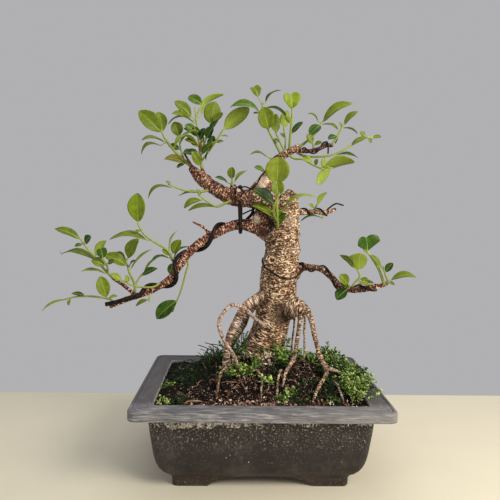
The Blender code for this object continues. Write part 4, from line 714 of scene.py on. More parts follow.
# Each shoot: its stems as points with radii, and its leaves: tint, stem, share along it, heading and lean in
# degrees, stalk, length, width, turn to the front in degrees, arch, and for a heart leaf its notch's end.
shoots = {
    "shootCrownOuter": (
        [[(-84, 27, 336, 2.0), (-97, 24, 347, 1.8), (-108, 22, 359, 1.6), (-113, 20, 366, 1.4),
          (-116, 19, 372, 1.1)],
         [(-91, 26, 341, 1.1), (-95.5, 27.5, 354, 0.95), (-98.4, 28, 369, 0.9)]],
        [("C", 0, 1.0, 138, 10, 2, 33, 20, 74, 0.05), ("B", 0, 1.0, 103, -14, 2, 24, 15, 62, 0.08),
         ("B", 0, 0.76, 180, 25, 4, 24, 12, 20, 0.14), ("O", 0, 0.76, 208, 12, 9, 24, 12, 26, 0.28),
         ("N", 0, 0.05, 170, 20, 3, 25, 14, 40, 0.1), ("D", 0, 0.12, 212, 30, 4, 9, 6, 50, 0.05),
         ("B", 1, 1.0, 104, 5, 2, 16, 15, 72, 0.05), ("D", 1, 0.5, 163, 15, 1.5, 13, 9, 58, 0.06),
         ("B", 1, 0.3, 40, -20, 2, 9, 6, 50, 0.05)]),
    "shootCrownInner": (
        [[(-69.5, 23, 329, 2.0), (-72, 24, 343, 1.7), (-74, 25, 362, 1.5), (-77, 26, 383, 1.3),
          (-79, 25, 400, 0.9)],
         [(-72.5, 25, 352, 1.3), (-68, 30, 364, 1.2), (-64, 35, 377, 1.1), (-62, 37, 386, 1.0)],
         [(-71.5, 24, 341, 1.3), (-65, 21, 349, 1.2), (-55, 18, 363, 1.1), (-46.5, 15, 376, 1.0)],
         [(-78, 25.5, 393, 1.0), (-74, 25, 401, 0.9), (-71, 25, 407, 0.8)]],
        [("B", 0, 0.83, 141, 15, 8, 24, 14, 64, 0.08), ("B", 0, 0.82, 168, 35, 8, 20, 11, 38, 0.1),
         ("M", 0, 0.8, 188, 20, 3, 29, 12, 15, 0.26), ("M", 3, 1.0, 151, -10, 1, 18, 13, 66, 0.05),
         ("P", 0, 0.85, 46, -10, 8, 37, 13, -22, 0.2), ("D", 0, 0.55, 112, 25, 3, 10, 9, 60, 0.05),
         ("D", 0, 0.56, 150, 20, 4, 15, 9, 42, 0.08), ("B", 0, 0.44, 163, 30, 4, 13, 8, 50, 0.06),
         ("O", 0, 0.4, 150, 10, 2, 10, 6, 60, 0.05), ("O", 0, 0.05, 121, 26, 5, 17, 11, 70, 0.05),
         ("D", 0, 0.32, 174, 5, 3, 12, 7, 42, 0.06), ("O", 1, 1.0, 79, -10, 2, 27, 22, -74, 0.06),
         ("B", 1, 0.97, 44, 10, 4, 17, 9, -50, 0.08), ("D", 1, 0.78, 44, 25, 2, 14, 8, 50, 0.06),
         ("D", 1, 0.45, 60, 15, 3, 14, 13, 60, 0.06), ("P", 1, 0.55, 204, 38, 4, 28, 12, 14, 0.3),
         ("P", 2, 1.0, 41, 5, 2, 37, 19, -64, 0.06), ("B", 2, 0.62, 10, 20, 2, 8, 5, 50, 0.05),
         ("D", 2, 0.6, 244, 5, 2, 20, 9, 12, 0.1), ("B", 2, 0.85, -5, -15, 2, 8, 4, 30, 0.05),
         ("P", 2, 0.3, 52, 30, 2, 14, 7, 48, 0.08), ("M", 0, 0.62, 150, 30, 3, 14, 11, 66, 0.05),
         ("G", 0, 0.5, 62, 30, 3, 13, 9, 62, 0.05), ("G", 2, 0.44, 82, -10, 1, 14, 11, 64, 0.05),
         ("M", 0, 0.26, 46, 30, 3, 17, 9, 52, 0.05), ("E", 0, 0.3, 84, 35, 2, 13, 4, 70, 0.03),
         ("P", 0, 0.46, 205, 45, 3, 27, 11, 18, 0.34), ("G", 0, 0.28, 176, 25, 3, 15, 8, 52, 0.06),
         ("D", 1, 0.3, 118, 10, 2, 10, 7, 55, 0.06)]),
    "shootCrownLow": (
        [[(-60, 18, 308, 1.6), (-72, 10, 305, 1.4), (-88, 4, 306, 1.2), (-103, 0, 311, 0.9)]],
        [("B", 0, 0.95, 209, 12, 3, 28, 12, 22, 0.26), ("D", 0, 0.22, 190, 14, 3, 24, 9, 14, 0.06),
         ("B", 0, 1.0, 140, 10, 1, 7, 4, 40, 0.05)]),
    "shootGuy": (
        [[(-33, 11, 297, 1.6), (-43, 2, 292, 1.5), (-52, -4, 288.5, 1.4), (-61, -8, 293, 1.2),
          (-69, -10, 299, 1.0)]],
        [("B", 0, 0.9, 204, 15, 3, 21, 11, 42, 0.14), ("B", 0, 0.55, 188, 20, 3, 28, 11, 28, 0.08),
         ("B", 0, 1.0, 120, 10, 1, 8, 5, 50, 0.05)]),
    "shootCrownTop": (
        [[(-36, 15, 305, 1.5), (-36, 13, 313, 1.2), (-35, 11, 318, 1.0)]],
        [("B", 0, 1.0, 92, 5, 3, 13, 10, 70, 0.05), ("D", 0, 0.7, 156, 10, 5, 15, 8, 30, 0.08),
         ("P", 0, 0.65, 45, -15, 6, 20, 9, 28, 0.08)]),
    "shootTopA": (
        [[(22, 11, 348, 1.7), (12, 9, 365, 1.5), (4, 9, 380, 1.4), (-1, 10, 393, 1.2), (-2, 9, 405, 0.9)]],
        [("M", 0, 0.86, 172, 10, 4, 33, 14, 44, 0.2), ("D", 0, 0.84, 190, 40, 3, 9, 5, 35, 0.05),
         ("B", 0, 0.97, 116, 5, 11, 13, 14, 62, 0.05, 0.92), ("D", 0, 0.99, 42, -10, 5, 23, 9, 20, 0.16),
         ("O", 0, 0.5, 109, 30, 4, 22, 20, 84, 0.03), ("D", 0, 0.96, -30, 12, 3, 31, 11, 30, 0.2)]),
    "shootTopB": (
        [[(26, 9, 350, 1.4), (20, 10, 362, 1.1), (15, 13, 373, 1.0)],
         [(24.5, 9, 353, 1.1), (26, 15, 366, 1.0), (24, 18, 380, 0.9)]],
        [("O", 0, 1.0, 92, 5, 1.5, 21, 14, -66, 0.05), ("D", 0, 0.55, 166, 45, 2, 8, 5, 45, 0.05),
         ("P", 1, 1.0, 80, -5, 1.5, 20, 13, -64, 0.06), ("P", 1, 0.6, 130, -30, 2, 7, 5, 60, 0.05)]),
    "shootTopC": (
        [[(30, 9, 352, 1.6), (30, 4, 368, 1.4), (31, 0, 385, 1.2), (31, -3, 397, 1.0)]],
        [("A", 0, 1.0, 98, 8, 1.5, 17.5, 21, 74, 0.04, 0.86), ("D", 0, 0.42, 46, 15, 3, 16, 9, 46, 0.06),
         ("P", 0, 0.66, 128, 30, 2, 10, 7, -60, 0.05)]),
    "shootLimbUnder": (
        [[(12, 12, 338, 1.2), (9, 6, 344, 1.1), (5, 2, 346, 1.0)],
         [(8, 8, 326, 1.1), (4, 3, 328, 1.0), (2, 1, 328.5, 0.9)]],
        [("B", 0, 1.0, 176, 10, 2, 18, 9, 16, 0.18), ("M", 1, 1.0, 156, 10, 1, 12, 8, 46, 0.08)]),
    "shootTopRight": (
        [[(40, 6, 357, 1.7), (51, 8, 366, 1.5), (59, 10, 374, 1.3), (67, 13, 387, 1.0)]],
        [("B", 0, 0.97, 146, 5, 5, 14, 8, 20, 0.2), ("B", 0, 1.0, 32, 10, 2, 38, 17, 40, 0.14),
         ("D", 0, 0.95, 226, 20, 2, 17, 13, 60, 0.05), ("B", 0, 0.97, -26, 25, 2, 18, 9, 30, 0.14)]),
    "shootTopEnd": (
        [[(75, -8, 358, 1.4), (81, -8, 368, 1.2), (87, -9, 380, 1.0)]],
        [("B", 0, 1.0, 47, 10, 2, 20, 10, 38, 0.08), ("D", 0, 0.95, -27, 15, 2, 16, 8, 22, 0.12),
         ("D", 0, 0.55, 205, 20, 2, 11, 8, 52, 0.05), ("D", 0, 0.6, 255, -20, 1.5, 9, 4, 40, 0.05),
         ("B", 0, 0.9, 118, 10, 1, 6, 4, 40, 0.05)]),
    "shootLong": (
        [[(37, 8, 353, 1.5), (46, 12, 349, 1.4), (58, 13, 348, 1.3), (78, 13, 350, 1.3), (94, 14, 357, 1.2),
          (103, 15, 363, 1.3), (117, 16, 371, 1.3), (126, 16, 372, 1.0)]],
        [("D", 0, 0.5, -8, 15, 3, 23, 9, 26, 0.08), ("P", 0, 0.38, 266, 20, 2, 12, 9, -60, 0.05),
         ("O", 0, 0.7, 28, 10, 2, 21, 8, 44, 0.08), ("B", 0, 0.93, 140, 10, 1.5, 8, 7, 60, 0.05),
         ("B", 0, 1.0, 2, 10, 1, 10, 6, 50, 0.08), ("M", 0, 0.96, -60, 10, 1, 6, 5, 60, 0.05)]),
    "shootTwigTuft": (
        [[(57, 1, 354, 1.1), (56, 3, 361, 1.0)]],
        [("B", 0, 1.0, 128, 15, 1.5, 11, 10, 62, 0.05), ("B", 0, 0.8, 20, 30, 1.5, 8, 6, 50, 0.05)]),
    "shootHanging": (
        [[(29, 9, 349, 1.5), (36, 2, 344, 1.3), (44, -4, 343, 1.2), (54, -11, 336.5, 1.1),
          (63, -16, 332, 1.0)],
         [(60, -14.5, 333.5, 1.0), (68, -16, 334, 0.9), (74, -16, 333, 0.8)]],
        [("O", 0, 1.0, 12, 5, 2, 35, 18, -38, 0.08), ("P", 1, 1.0, 231, 10, 1, 23, 12.5, -66, 0.08),
         ("P", 0, 0.4, 345, 25, 1, 11, 9, 55, 0.12), ("B", 0, 0.85, 85, 15, 1, 7, 5, 50, 0.05)]),
    "shootFront": (
        [[(17, -8, 264, 2.0), (16, -17, 272, 1.7), (15, -22, 283, 1.5), (14, -26, 300, 1.2),
          (14, -28, 312, 1.1)],
         [(16, -18, 273, 1.3), (11, -25, 281, 1.2), (11, -33, 290, 1.1), (14.5, -37, 300, 1.0)]],
        [("L", 0, 1.0, 90, 4, 2, 28, 27, 84, 0.03), ("B", 1, 1.0, 98, 4, 1, 16, 15, 80, 0.04),
         ("G", 0, 0.58, 147, 10, 3, 28, 17, 46, 0.05), ("B", 1, 0.15, 153, 15, 2, 27, 14, 40, 0.12),
         ("P", 0, 0.45, 22, 10, 7, 38, 10, 22, 0.22), ("D", 0, 0.28, 40, 35, 3, 9, 6, 55, 0.05),
         ("D", 0, 0.2, 120, 40, 2, 9, 6, 60, 0.05), ("A", 0, 0.12, 76, 12, 2, 19, 6, 52, 0.08),
         ("B", 0, 0.05, 108, 10, 1, 15, 6, 46, 0.08), ("P", 1, 0.25, 84, 10, 1, 13, 5, 46, 0.05),
         ("M", 0, 0.1, 52, 10, 1, 15, 6, 40, 0.08)]),
    "shootTwigRight": (
        [[(62, 17, 286, 1.1), (63, 12, 291, 1.0)]],
        [("P", 0, 1.0, 56, 10, 2, 18, 9, -45, 0.08), ("B", 0, 0.5, 150, 25, 2, 8, 5, 50, 0.05)]),
    "shootTwigUnder": (
        [[(74, 22, 282, 1.1), (72, 18, 278.5, 1.0)]],
        [("D", 0, 1.0, 187, 25, 2, 26, 7, 12, 0.12)]),
    "shootFarLeft": (
        [[(-158, -43, 211, 1.5), (-166, -45, 220, 1.4), (-174, -47, 230, 1.3), (-182, -49, 241, 1.2),
          (-189, -50, 251, 0.9)],
         [(-163, -44, 216, 1.0), (-162, -50, 224, 1.0), (-165, -54, 231, 0.9)]],
        [("C", 0, 1.0, 155, 10, 2, 25, 11, 40, 0.1), ("D", 0, 0.88, 50, 20, 2, 10, 10, 56, 0.05),
         ("D", 0, 0.9, 200, 30, 1.5, 7, 5, 45, 0.05), ("C", 0, 0.46, 170, -15, 2, 40, 11, 22, 0.14),
         ("P", 0, 0.55, 60, -10, 2, 19, 10, -40, 0.1), ("D", 1, 1.0, 98, 20, 1.5, 11, 11, 60, 0.04, 0.86),
         ("O", 1, 0.55, 158, 15, 3, 13, 11, 50, 0.06), ("D", 1, 0.7, 20, 20, 2, 8, 6, 50, 0.05),
         ("P", 0, 0.12, 172, 20, 4, 22, 8, 14, 0.1)]),
    "shootFarTip": (
        [[(-157, -38, 182, 1.4), (-162, -38, 187.5, 1.2), (-176, -44, 191, 1.1), (-191, -50, 192, 1.0),
          (-202, -53, 190, 0.9)],
         [(-165, -39.5, 188.4, 1.0), (-163, -46, 189, 0.95), (-162, -53, 191, 0.9)]],
        [("P", 0, 1.0, 205, 5, 2, 26, 7, 16, 0.08), ("D", 0, 0.62, 165, 20, 2, 13, 6, 32, 0.06),
         ("P", 0, 0.94, 262, 20, 1.5, 6, 5, 50, 0.05), ("O", 1, 1.0, 104, 5, 1.5, 22, 14, 75, 0.04),
         ("P", 0, 0.22, 12, -15, 2, 9, 5, 30, 0.06)]),
    "shootLeftHigh": (
        [[(-91, -18.5, 220, 1.6), (-98.5, -18, 228, 1.4), (-104, -26, 240, 1.3), (-119, -36, 251, 1.2),
          (-127, -38, 258, 1.1), (-132, -40, 267, 0.9)]],
        [("B", 0, 0.68, 178, 10, 5, 38, 14, 24, 0.14), ("A", 0, 1.0, 92, 5, 3, 30, 20, 80, 0.04),
         ("B", 0, 0.24, 62, -10, 4, 17, 12, 66, 0.06), ("M", 0, 0.14, 258, 30, 2, 11, 9, 55, 0.06),
         ("B", 0, 0.26, 140, 35, 2, 9, 6, 50, 0.05), ("P", 0, 0.34, 72, -10, 2, 23, 8, 12, 0.08),
         ("D", 0, 0.22, 188, 25, 3, 18, 8, 14, 0.18), ("D", 0, 0.2, 30, -25, 3, 22, 8, 14, 0.2),
         ("B", 0, 0.9, 190, 25, 1, 6, 4, 40, 0.05)]),
    "shootLeftLow": (
        [[(-137, -33, 193, 1.5), (-138, -29, 203, 1.4), (-144, -25, 214, 1.3), (-148, -23, 227, 1.0)],
         [(-138, -30, 200, 1.0), (-134, -24, 209, 0.95), (-131, -21, 213, 0.9)]],
        [("A", 0, 1.0, 62, 10, 4, 24, 16, 58, 0.08), ("B", 0, 0.86, 152, 15, 2, 24, 15, 48, 0.1),
         ("D", 0, 0.97, 148, -20, 3, 16, 8, 20, 0.2), ("P", 0, 0.72, 44, -15, 3, 30, 9, 16, 0.08),
         ("P", 1, 1.0, 46, -5, 2, 29, 9, 14, 0.08), ("D", 1, 0.8, 27, 20, 3, 19, 9, 46, 0.08),
         ("D", 0, 0.8, 42, 35, 2, 13, 5, 20, 0.1)]),
    "shootLeftPale": (
        [[(-111, -30, 204, 1.2), (-118, -38, 201, 1.1), (-134, -46, 203, 1.0), (-146, -51, 209, 0.9)]],
        [("P", 0, 1.0, 150, 10, 1.5, 12, 8, 50, 0.08), ("P", 0, 0.85, 100, 20, 1.5, 8, 5, 50, 0.05)]),
    "shootDangling": (
        [[(-84, -17, 230, 1.3), (-82, -12, 224, 1.2), (-85, -12, 212, 1.1), (-90, -13, 193, 1.0),
          (-97, -14, 176, 0.9)]],
        [("R", 0, 0.86, 222, 12, 1.5, 28, 18, 62, 0.06), ("B", 0, 0.96, 250, -20, 1.5, 8, 5, 40, 0.05)]),
    "shootLeftUnder": (
        [[(-121, -31, 194, 1.1), (-121, -34, 188, 1.0)]],
        [("B", 0, 1.0, 207, 15, 2, 14, 6, 40, 0.08)]),
    "shootRightTall": (
        [[(131, -38, 207, 1.7), (124.5, -41, 222, 1.45), (117.5, -43, 233, 1.3), (110, -44, 243, 1.1)]],
        [("R", 0, 1.0, 99, 10, 1.5, 16, 27, 74, 0.03, 0.84), ("B", 0, 0.95, -54, 15, 2, 17, 9, 42, 0.1),
         ("B", 0, 0.92, 150, 30, 1.5, 8, 5, 45, 0.05)]),
    "shootRightInner": (
        [[(99, -22, 201, 1.4), (104, -18, 207, 1.2), (109.5, -16, 213, 1.1), (108, -14, 219.5, 0.9)]],
        [("O", 0, 1.0, 84, 5, 1.5, 18, 26, -74, 0.08), ("D", 0, 0.95, 139, 10, 8, 22, 9, -40, 0.08),
         ("B", 0, 0.6, -8, 20, 2, 9, 6, 50, 0.05), ("P", 0, 0.45, -6, 10, 5, 14, 7, -40, 0.06)]),
    "shootRightKnee": (
        [[(97, -21, 201, 1.2), (96, -26, 203, 1.1), (94.5, -28, 205, 1.0)]],
        [("B", 0, 1.0, 134, 12, 1.5, 14, 13, 60, 0.05), ("D", 0, 0.8, 170, 30, 1.5, 9, 7, 48, 0.05),
         ("D", 0, 0.55, 222, 12, 5, 15, 14, 46, 0.06)]),
    "shootRightEnd": (
        [[(129, -36, 207, 1.5), (134, -39.5, 211, 1.3), (131, -43, 217, 1.1), (128.5, -45, 222, 0.9)]],
        [("D", 0, 0.95, 55, 15, 1, 12, 8, 52, 0.06), ("B", 0, 0.42, 9, 10, 3.5, 26, 10.5, 34, 0.2),
         ("B", 0, 0.38, -30, 25, 1.5, 6, 4, 50, 0.05), ("B", 0, 1.0, 120, -10, 1, 7, 4, 45, 0.05)]),
    "shootRightPale": (
        [[(117, -31, 202.5, 1.1), (116, -36, 206.5, 1.0)]],
        [("P", 0, 1.0, 172, 15, 1.5, 13, 7, -42, 0.08)]),
}

# Leaf colours by letter: greens from deep (G) to pale (P), a tan (N) and a red-brown (E).
leafTints = {
    "B": "#61710e", "D": "#1d4213", "O": "#6d7d1d", "P": "#859834", "L": "#7d8a26", "N": "#7a7131",
    "M": "#456414", "R": "#21470b", "G": "#0a331c", "E": "#8a4f3c", "C": "#596b0e", "A": "#768a16",
}

blade = {
    "across": 8, "along": 14, "thickness": 0.34, "fold": 18.0, "weld": 0.02, "level": 0.05,
    "wave": (0.05, 0.3, 1.0), "curl": (0.05, -0.4, 1.0),  # share of width or length, and spread
    "stalkRadius": 0.55, "ribRadius": 0.42, "stemSides": 10, "station": 1.6, "shade": 0.12,
    "budLength": 4.5, "bud": ((0.2, 1.05), (0.5, 0.8), (0.8, 0.4), (1.0, 0.1)),
    "rib": (0.03, 0.15, 0.3, 0.45, 0.6, 0.75, 0.86),
    "stemColours": ("#7b8c33", "#a3b254"),
    # From this width over length on: how fast the outline rises from the stalk and falls to the tip.
    "outlines": ((0.7, 0.62, 0.60), (0.45, 0.78, 0.70), (0.0, 0.88, 0.92)),
    "heartShoulder": 0.62, "heartRise": 0.72, "heartTaper": 0.06, "heartLobe": 0.7,
    "waves": 8, "cup": 1.4, "narrow": 0.96, "ribDepth": 0.75, "ribTaper": 0.85,
    "stalkEnds": (1.1, 0.9), "neckRise": 0.08, "neckMost": 0.5,
}


def leafFrame(heading, lean, face):
    h, w, f = math.radians(heading), math.radians(lean), math.radians(face)
    along = Vector((math.cos(h) * math.cos(w), -math.sin(w), math.sin(h) * math.cos(w)))
    front = Vector((0, -1, 0))
    front = (front - along * front.dot(along)).normalized()
    above = along.cross(front)
    if above.z < 0 or (abs(above.z) < blade["level"] and above.x > 0):
        above = -above
    normal = above * math.cos(f) + front * math.sin(f)
    return along, normal, normal.cross(along)


def halfShare(s, length, width, notch):
    # How much of the half width the blade has at a share of its length.
    if notch < 1:
        shoulder = blade["heartShoulder"]
        taper = 1 - blade["heartTaper"] * ((s - shoulder) / (1 - shoulder)) ** 2
        return min(1.0, (s / shoulder) ** blade["heartRise"]) * (1.0 if s < shoulder else taper)
    rise, fall = next(row[1:] for row in blade["outlines"] if width > row[0] * length)
    peak = rise / (rise + fall)
    return (s / peak) ** rise * ((1 - s) / (1 - peak)) ** fall if 0 < s < 1 else 0.0


def makeBlade(leaf, base, axes, draw):
    # One leaf as a thin folded sheet with two faces, and the line of the rib beneath it.
    along, normal, side = axes
    length, width, arch, notch, tint = leaf
    (wave, *waves), (curl, *curls) = blade["wave"], blade["curl"]
    wave, phase = wave * width * draw.uniform(*waves), draw.uniform(*anyTurn)
    curl = curl * length * draw.uniform(*curls)
    fold = math.sin(math.radians(blade["fold"]))

    def place(across, s):
        half = halfShare(s, length, width, notch) * width / 2
        reach = s
        if notch < 1:
            reach = s * (notch + (1 - notch) * (1 - (2 * abs(across) - 1) ** 2) ** blade["heartLobe"])
        lift = arch * length * 4 * s * (1 - s) + abs(across) ** blade["cup"] * half * fold
        ripple = math.sin(s * blade["waves"] + phase + (2 if across < 0 else 0))
        lift += wave * ripple * abs(across) ** 2 - curl * s ** 3
        return base + along * (length * reach) + normal * lift + side * (across * half * blade["narrow"])

    sheet = bmesh.new()
    bmesh.ops.create_grid(sheet, x_segments=blade["across"], y_segments=blade["along"], size=1)
    flow = sheet.verts.layers.float_vector.new("leafFlow")
    tints = sheet.verts.layers.float_color.new("leafTint")
    sides = sheet.verts.layers.float.new("leafSide")
    for vertex in sheet.verts:
        across = vertex.co.x
        s = 0.5 - 0.5 * math.cos(math.pi * (vertex.co.y + 1) / 2)
        half = halfShare(s, length, width, notch) * width / 2
        vertex[flow] = (across * half, s * length, length)
        vertex[tints] = tint
        vertex.co = place(across, s)
    bmesh.ops.remove_doubles(sheet, verts=sheet.verts, dist=blade["weld"])
    sheet.normal_update()
    if sum((f.normal * f.calc_area() for f in sheet.faces), Vector()).dot(normal) < 0:
        bmesh.ops.reverse_faces(sheet, faces=sheet.faces)
        sheet.normal_update()
    upper = set(sheet.verts)
    bmesh.ops.solidify(sheet, geom=sheet.faces[:], thickness=blade["thickness"])
    for vertex in sheet.verts:
        vertex[sides] = 1.0 if vertex in upper else 0.0
    bmesh.ops.recalc_face_normals(sheet, faces=sheet.faces)
    below, taper = normal * (blade["thickness"] * blade["ribDepth"]), blade["ribTaper"]
    return sheet, [(place(0, s) - below, blade["ribRadius"] * (1 - s * taper)) for s in blade["rib"]]


def makeShoot(name, stems, leaves, materials):
    draw = random.Random(name)
    courses = [smoothCourse(stem, blade["station"]) for stem in stems]
    lines = []
    for course in courses:
        (end, radius), before = course[-1], course[-4][0]
        aim = (end - before).normalized()
        lines.append(course + [(end + aim * blade["budLength"] * s, radius * w) for s, w in blade["bud"]])
    sheets = []
    thick, (footShare, neckShare) = blade["stalkRadius"], blade["stalkEnds"]
    for tint, which, share, heading, lean, stalk, reach, width, face, arch, *notch in leaves:
        root, stemRadius = onCourse(courses[which], share)
        axes = leafFrame(heading, lean, face)
        shade = 1 + draw.uniform(-blade["shade"], blade["shade"])
        tint = [c * shade for c in fromHex(leafTints[tint])[:3]] + [1]
        base = root + axes[0] * stalk
        leaf = (reach / math.cos(math.radians(lean)), width, arch, notch[0] if notch else 1.0, tint)
        sheet, rib = makeBlade(leaf, base, axes, draw)
        neck = root.lerp(base, 0.5) + axes[1] * min(blade["neckMost"], stalk * blade["neckRise"])
        lines.append([(root, thick * footShare), (neck, thick * neckShare), (base, thick)] + rib)
        sheets.append(asMesh(sheet, "leaf"))
    work = opened(tubes("stems", lines, blade["stemSides"]))
    tints = work.verts.layers.float_color.new("leafTint")
    for face in work.faces:
        face.material_index = 1
    low, high = min(v.co.z for v in work.verts), max(v.co.z for v in work.verts)
    old, young = (fromHex(colour) for colour in blade["stemColours"])
    for vertex in work.verts:
        share = (vertex.co.z - low) / max(high - low, 1)
        vertex[tints] = [a + (b - a) * share for a, b in zip(old, young)]
    for sheet in sheets:
        work.from_mesh(sheet)
    placePiece(name.replace("shoot", "leaves"), asMesh(work, name), materials, (name,))


# Wound wires: the limb they follow, their angle round it at shares of its length, radius, and a free tail.
wires = {
    "wireThick": {
        "limb": "leftLimb", "radius": 2.3, "tail": [(-6, -1, -1.5), (-13, -2, -3)],
        "twist": [(0.237, 69), (0.347, -90), (0.50, -290), (0.57, -360), (0.62, -450), (0.84, -805),
                  (0.95, -785)],
    },
    "wireRightLimb": {
        "limb": "rightLimb", "radius": 0.95, "tail": [],
        "twist": [(0.155, 0), (0.37, 360), (0.52, 450), (0.62, 540), (0.79, 720), (0.95, 900)],
    },
    "wireRightTwig": {
        "limb": "rightTwig", "radius": 0.95, "tail": [(5, 0, 4), (10, 0, 6), (18, 1, 4)],
        "twist": [(0.20, -90), (0.32, 0), (0.43, 180), (0.60, 360), (0.79, 540), (0.86, 700)],
    },
    "wireTopTwig": {
        "limb": "topTwig", "radius": 0.9, "tail": [(1, -2, -6), (1, -2, -13)],
        "twist": [(0.15, -60), (0.35, 90), (0.60, 270), (0.86, 400)],
    },
}

wireShape = {
    "sides": 12, "station": 0.8, "turnStep": 9.0, "clear": 0.35, "above": 0.9,  # above the bark, in radii
    "ringMiddle": (21.5, 4.6), "ringRadius": 22.5, "ringSteps": 5,
    # Round the trunk, in degrees and heights, and from there to the limb.
    "ring": [(150, 231), (180, 229), (210, 224), (240, 217), (270, 211), (296, 209)],
    "ringToLimb": [(38, -11, 211), (43.5, -9, 215), (47.5, -6.4, 220.5), (47.8, -3, 226)],
}
guyTie = {  # from the knot on the upper limb down behind it, under the lower limb, and up in front of both
    "radius": 2.25, "thin": 0.85, "station": 1.0,
    "strand": [
        (-26, 7, 311.2), (-25, 15, 311.5), (-24.5, 22.5, 306), (-24.5, 24, 297), (-24.5, 17, 284),
        (-24.5, 8, 272), (-24.5, 3, 263), (-24.5, -4, 260.2), (-24.5, -11, 263), (-24.7, -12.2, 269),
        (-25.2, -9.5, 279), (-25.6, -4, 287), (-26, 2, 291)],
    "knots": [
        [(-30.4, 6, 303.5), (-31, 5, 307.5), (-29, 4.5, 310.8), (-25.4, 4.5, 310.6), (-23.8, 5, 307)],
        [(-25, 5.5, 310.5), (-20, 3.5, 311.6), (-13, 3, 310), (-7, -1, 315), (-2, -3, 324), (2, -4, 329),
         (5.5, -1, 336), (10.5, 3.5, 343.5), (15.5, 5, 347.8)],
        [(-22.5, -9.5, 280.4), (-16.4, -8, 283.5), (-10.8, -6, 286)]],
}
wireStart = {  # the thick wire's start: up the trunk's side, over the left limb's foot and down behind it
    "radius": 1.75, "course": [
        (9, -13, 263), (8, -15, 270), (5.6, -14, 278.8), (0.5, -10, 286), (-5, -6, 289), (-10.5, -2, 287.5),
        (-14.5, 1, 281.5), (-18, 6, 275.5)],
}


def windRound(limb, twist, radius):
    course = smoothCourse(limbs[limb][2], 1.0)
    frames = []
    ahead = Vector((0, 0, 1))
    for i in range(len(course)):
        tangent = (course[min(i + 2, len(course) - 1)][0] - course[max(i - 2, 0)][0]).normalized()
        ahead = (ahead - tangent * ahead.dot(tangent)).normalized()
        frames.append((ahead.copy(), tangent.cross(ahead)))
    line = []
    for (first, start), (last, stop) in zip(twist, twist[1:]):
        count = max(2, round(abs(stop - start) / wireShape["turnStep"]))
        for k in range(count + (1 if last == twist[-1][0] else 0)):
            share = first + (last - first) * k / count
            angle = math.radians(start + (stop - start) * k / count)
            where, bark = onCourse(course, share)
            up, out = frames[min(int(share * (len(course) - 1)), len(course) - 2)]
            reach = bark + radius + wireShape["clear"]
            line.append((*(where + (up * math.cos(angle) + out * math.sin(angle)) * reach), radius))
    return line


def onBark(tree, points, radius):
    # The points moved onto the bark's surface, so that a wire of this radius just rests on it.
    toPot = toRow.inverted()
    moved = []
    for point in points:
        found, where, outward, index = tree.closest_point_on_mesh(toRow @ Vector(point))
        moved.append(toPot @ where + outward * radius * wireShape["above"])
    return thickened(moved, radius)


def makeWires(tree, metal):
    def place(name, mesh, replaced=()):
        placePiece(name, mesh, [metal], replaced)

    station, sides = wireShape["station"], wireShape["sides"]
    for name, wire in wires.items():
        radius = wire["radius"]
        line = windRound(wire["limb"], wire["twist"], radius)
        if name == "wireRightLimb":
            x, y = wireShape["ringMiddle"]
            reach, steps = wireShape["ringRadius"], wireShape["ringSteps"]
            turn = []
            for (first, low), (last, high) in zip(wireShape["ring"], wireShape["ring"][1:]):
                for k in range(steps):
                    angle = math.radians(first + (last - first) * k / steps)
                    height = low + (high - low) * k / steps
                    turn.append((x + reach * math.cos(angle), y + reach * math.sin(angle), height))
            line = onBark(tree, turn, radius) + thickened(wireShape["ringToLimb"], radius) + line
        end = Vector(line[-1][:3])
        line += thickened([end + Vector(step) for step in wire["tail"]], radius)
        place(name + "Round", tubes(name, [smoothCourse(line, station)], sides), (name,))
    start = onBark(tree, wireStart["course"], wireStart["radius"])
    place("wireStart", tubes("start", [smoothCourse(start, station)], sides))
    strand = smoothCourse(thickened(guyTie["strand"], guyTie["radius"]), guyTie["station"])
    knots = [smoothCourse(thickened(knot, guyTie["thin"]), station) for knot in guyTie["knots"]]
    tie = opened(tubes("tie", [strand], sides), tubes("knots", knots, sides))
    place("guyTieRound", asMesh(tie, "guyTie"), ("guyTie",))


pot = {
    "brim": (132.0, 102.0), "height": 90.0, "lipHeight": 10.5, "lipThickness": 3.2, "rimBand": 22.5,
    "wall": (117.0, 83.5), "wallThickness": 4.0, "foot": (90.5, 68.8),
    "sheet": 3.4, "grooveInset": 3.7,  # how far below the rim's top, and how far in from its edge
    "drain": {"radius1": 9.0, "radius2": 9.0, "depth": 60, "segments": 40},
    "drainPlaces": ((-46.0, 0, 10), (46.0, 0, 10)),
    "perCorner": 9, "alongSide": 10, "sharpAngle": 38, "archReach": 150, "archStation": 2.0,
    "cove": [  # the hollow of the outer wall above the feet: half width, half depth, corner radius, height
        (96.6, 73, 8, 13.5), (99.9, 75.4, 9.5, 15.4), (103, 77.6, 11, 18), (105.8, 78.9, 11.5, 21.6),
        (108.2, 79.6, 12, 26), (109.8, 80.0, 12, 31), (111, 80.3, 12, 36.5)],
    "inside": [(106, 75.5, 9, 34), (104.2, 74.6, 9, 25), (96, 70, 7, 16.0)],
    # Outlines of the openings between the feet: across the front, and through the sides.
    "frontArch": [(-56, -2), (-55, 0), (-49, 4), (-38, 8), (-20, 10.4), (0, 11.2),
                  (20, 10.4), (38, 8), (49, 4), (55, 0), (56, -2)],
    "sideArch": [(-43, -2), (-42, 0), (-37, 4), (-28, 7.6), (-12, 9.6),
                 (12, 9.6), (28, 7.6), (37, 4), (42, 0), (43, -2)],
}


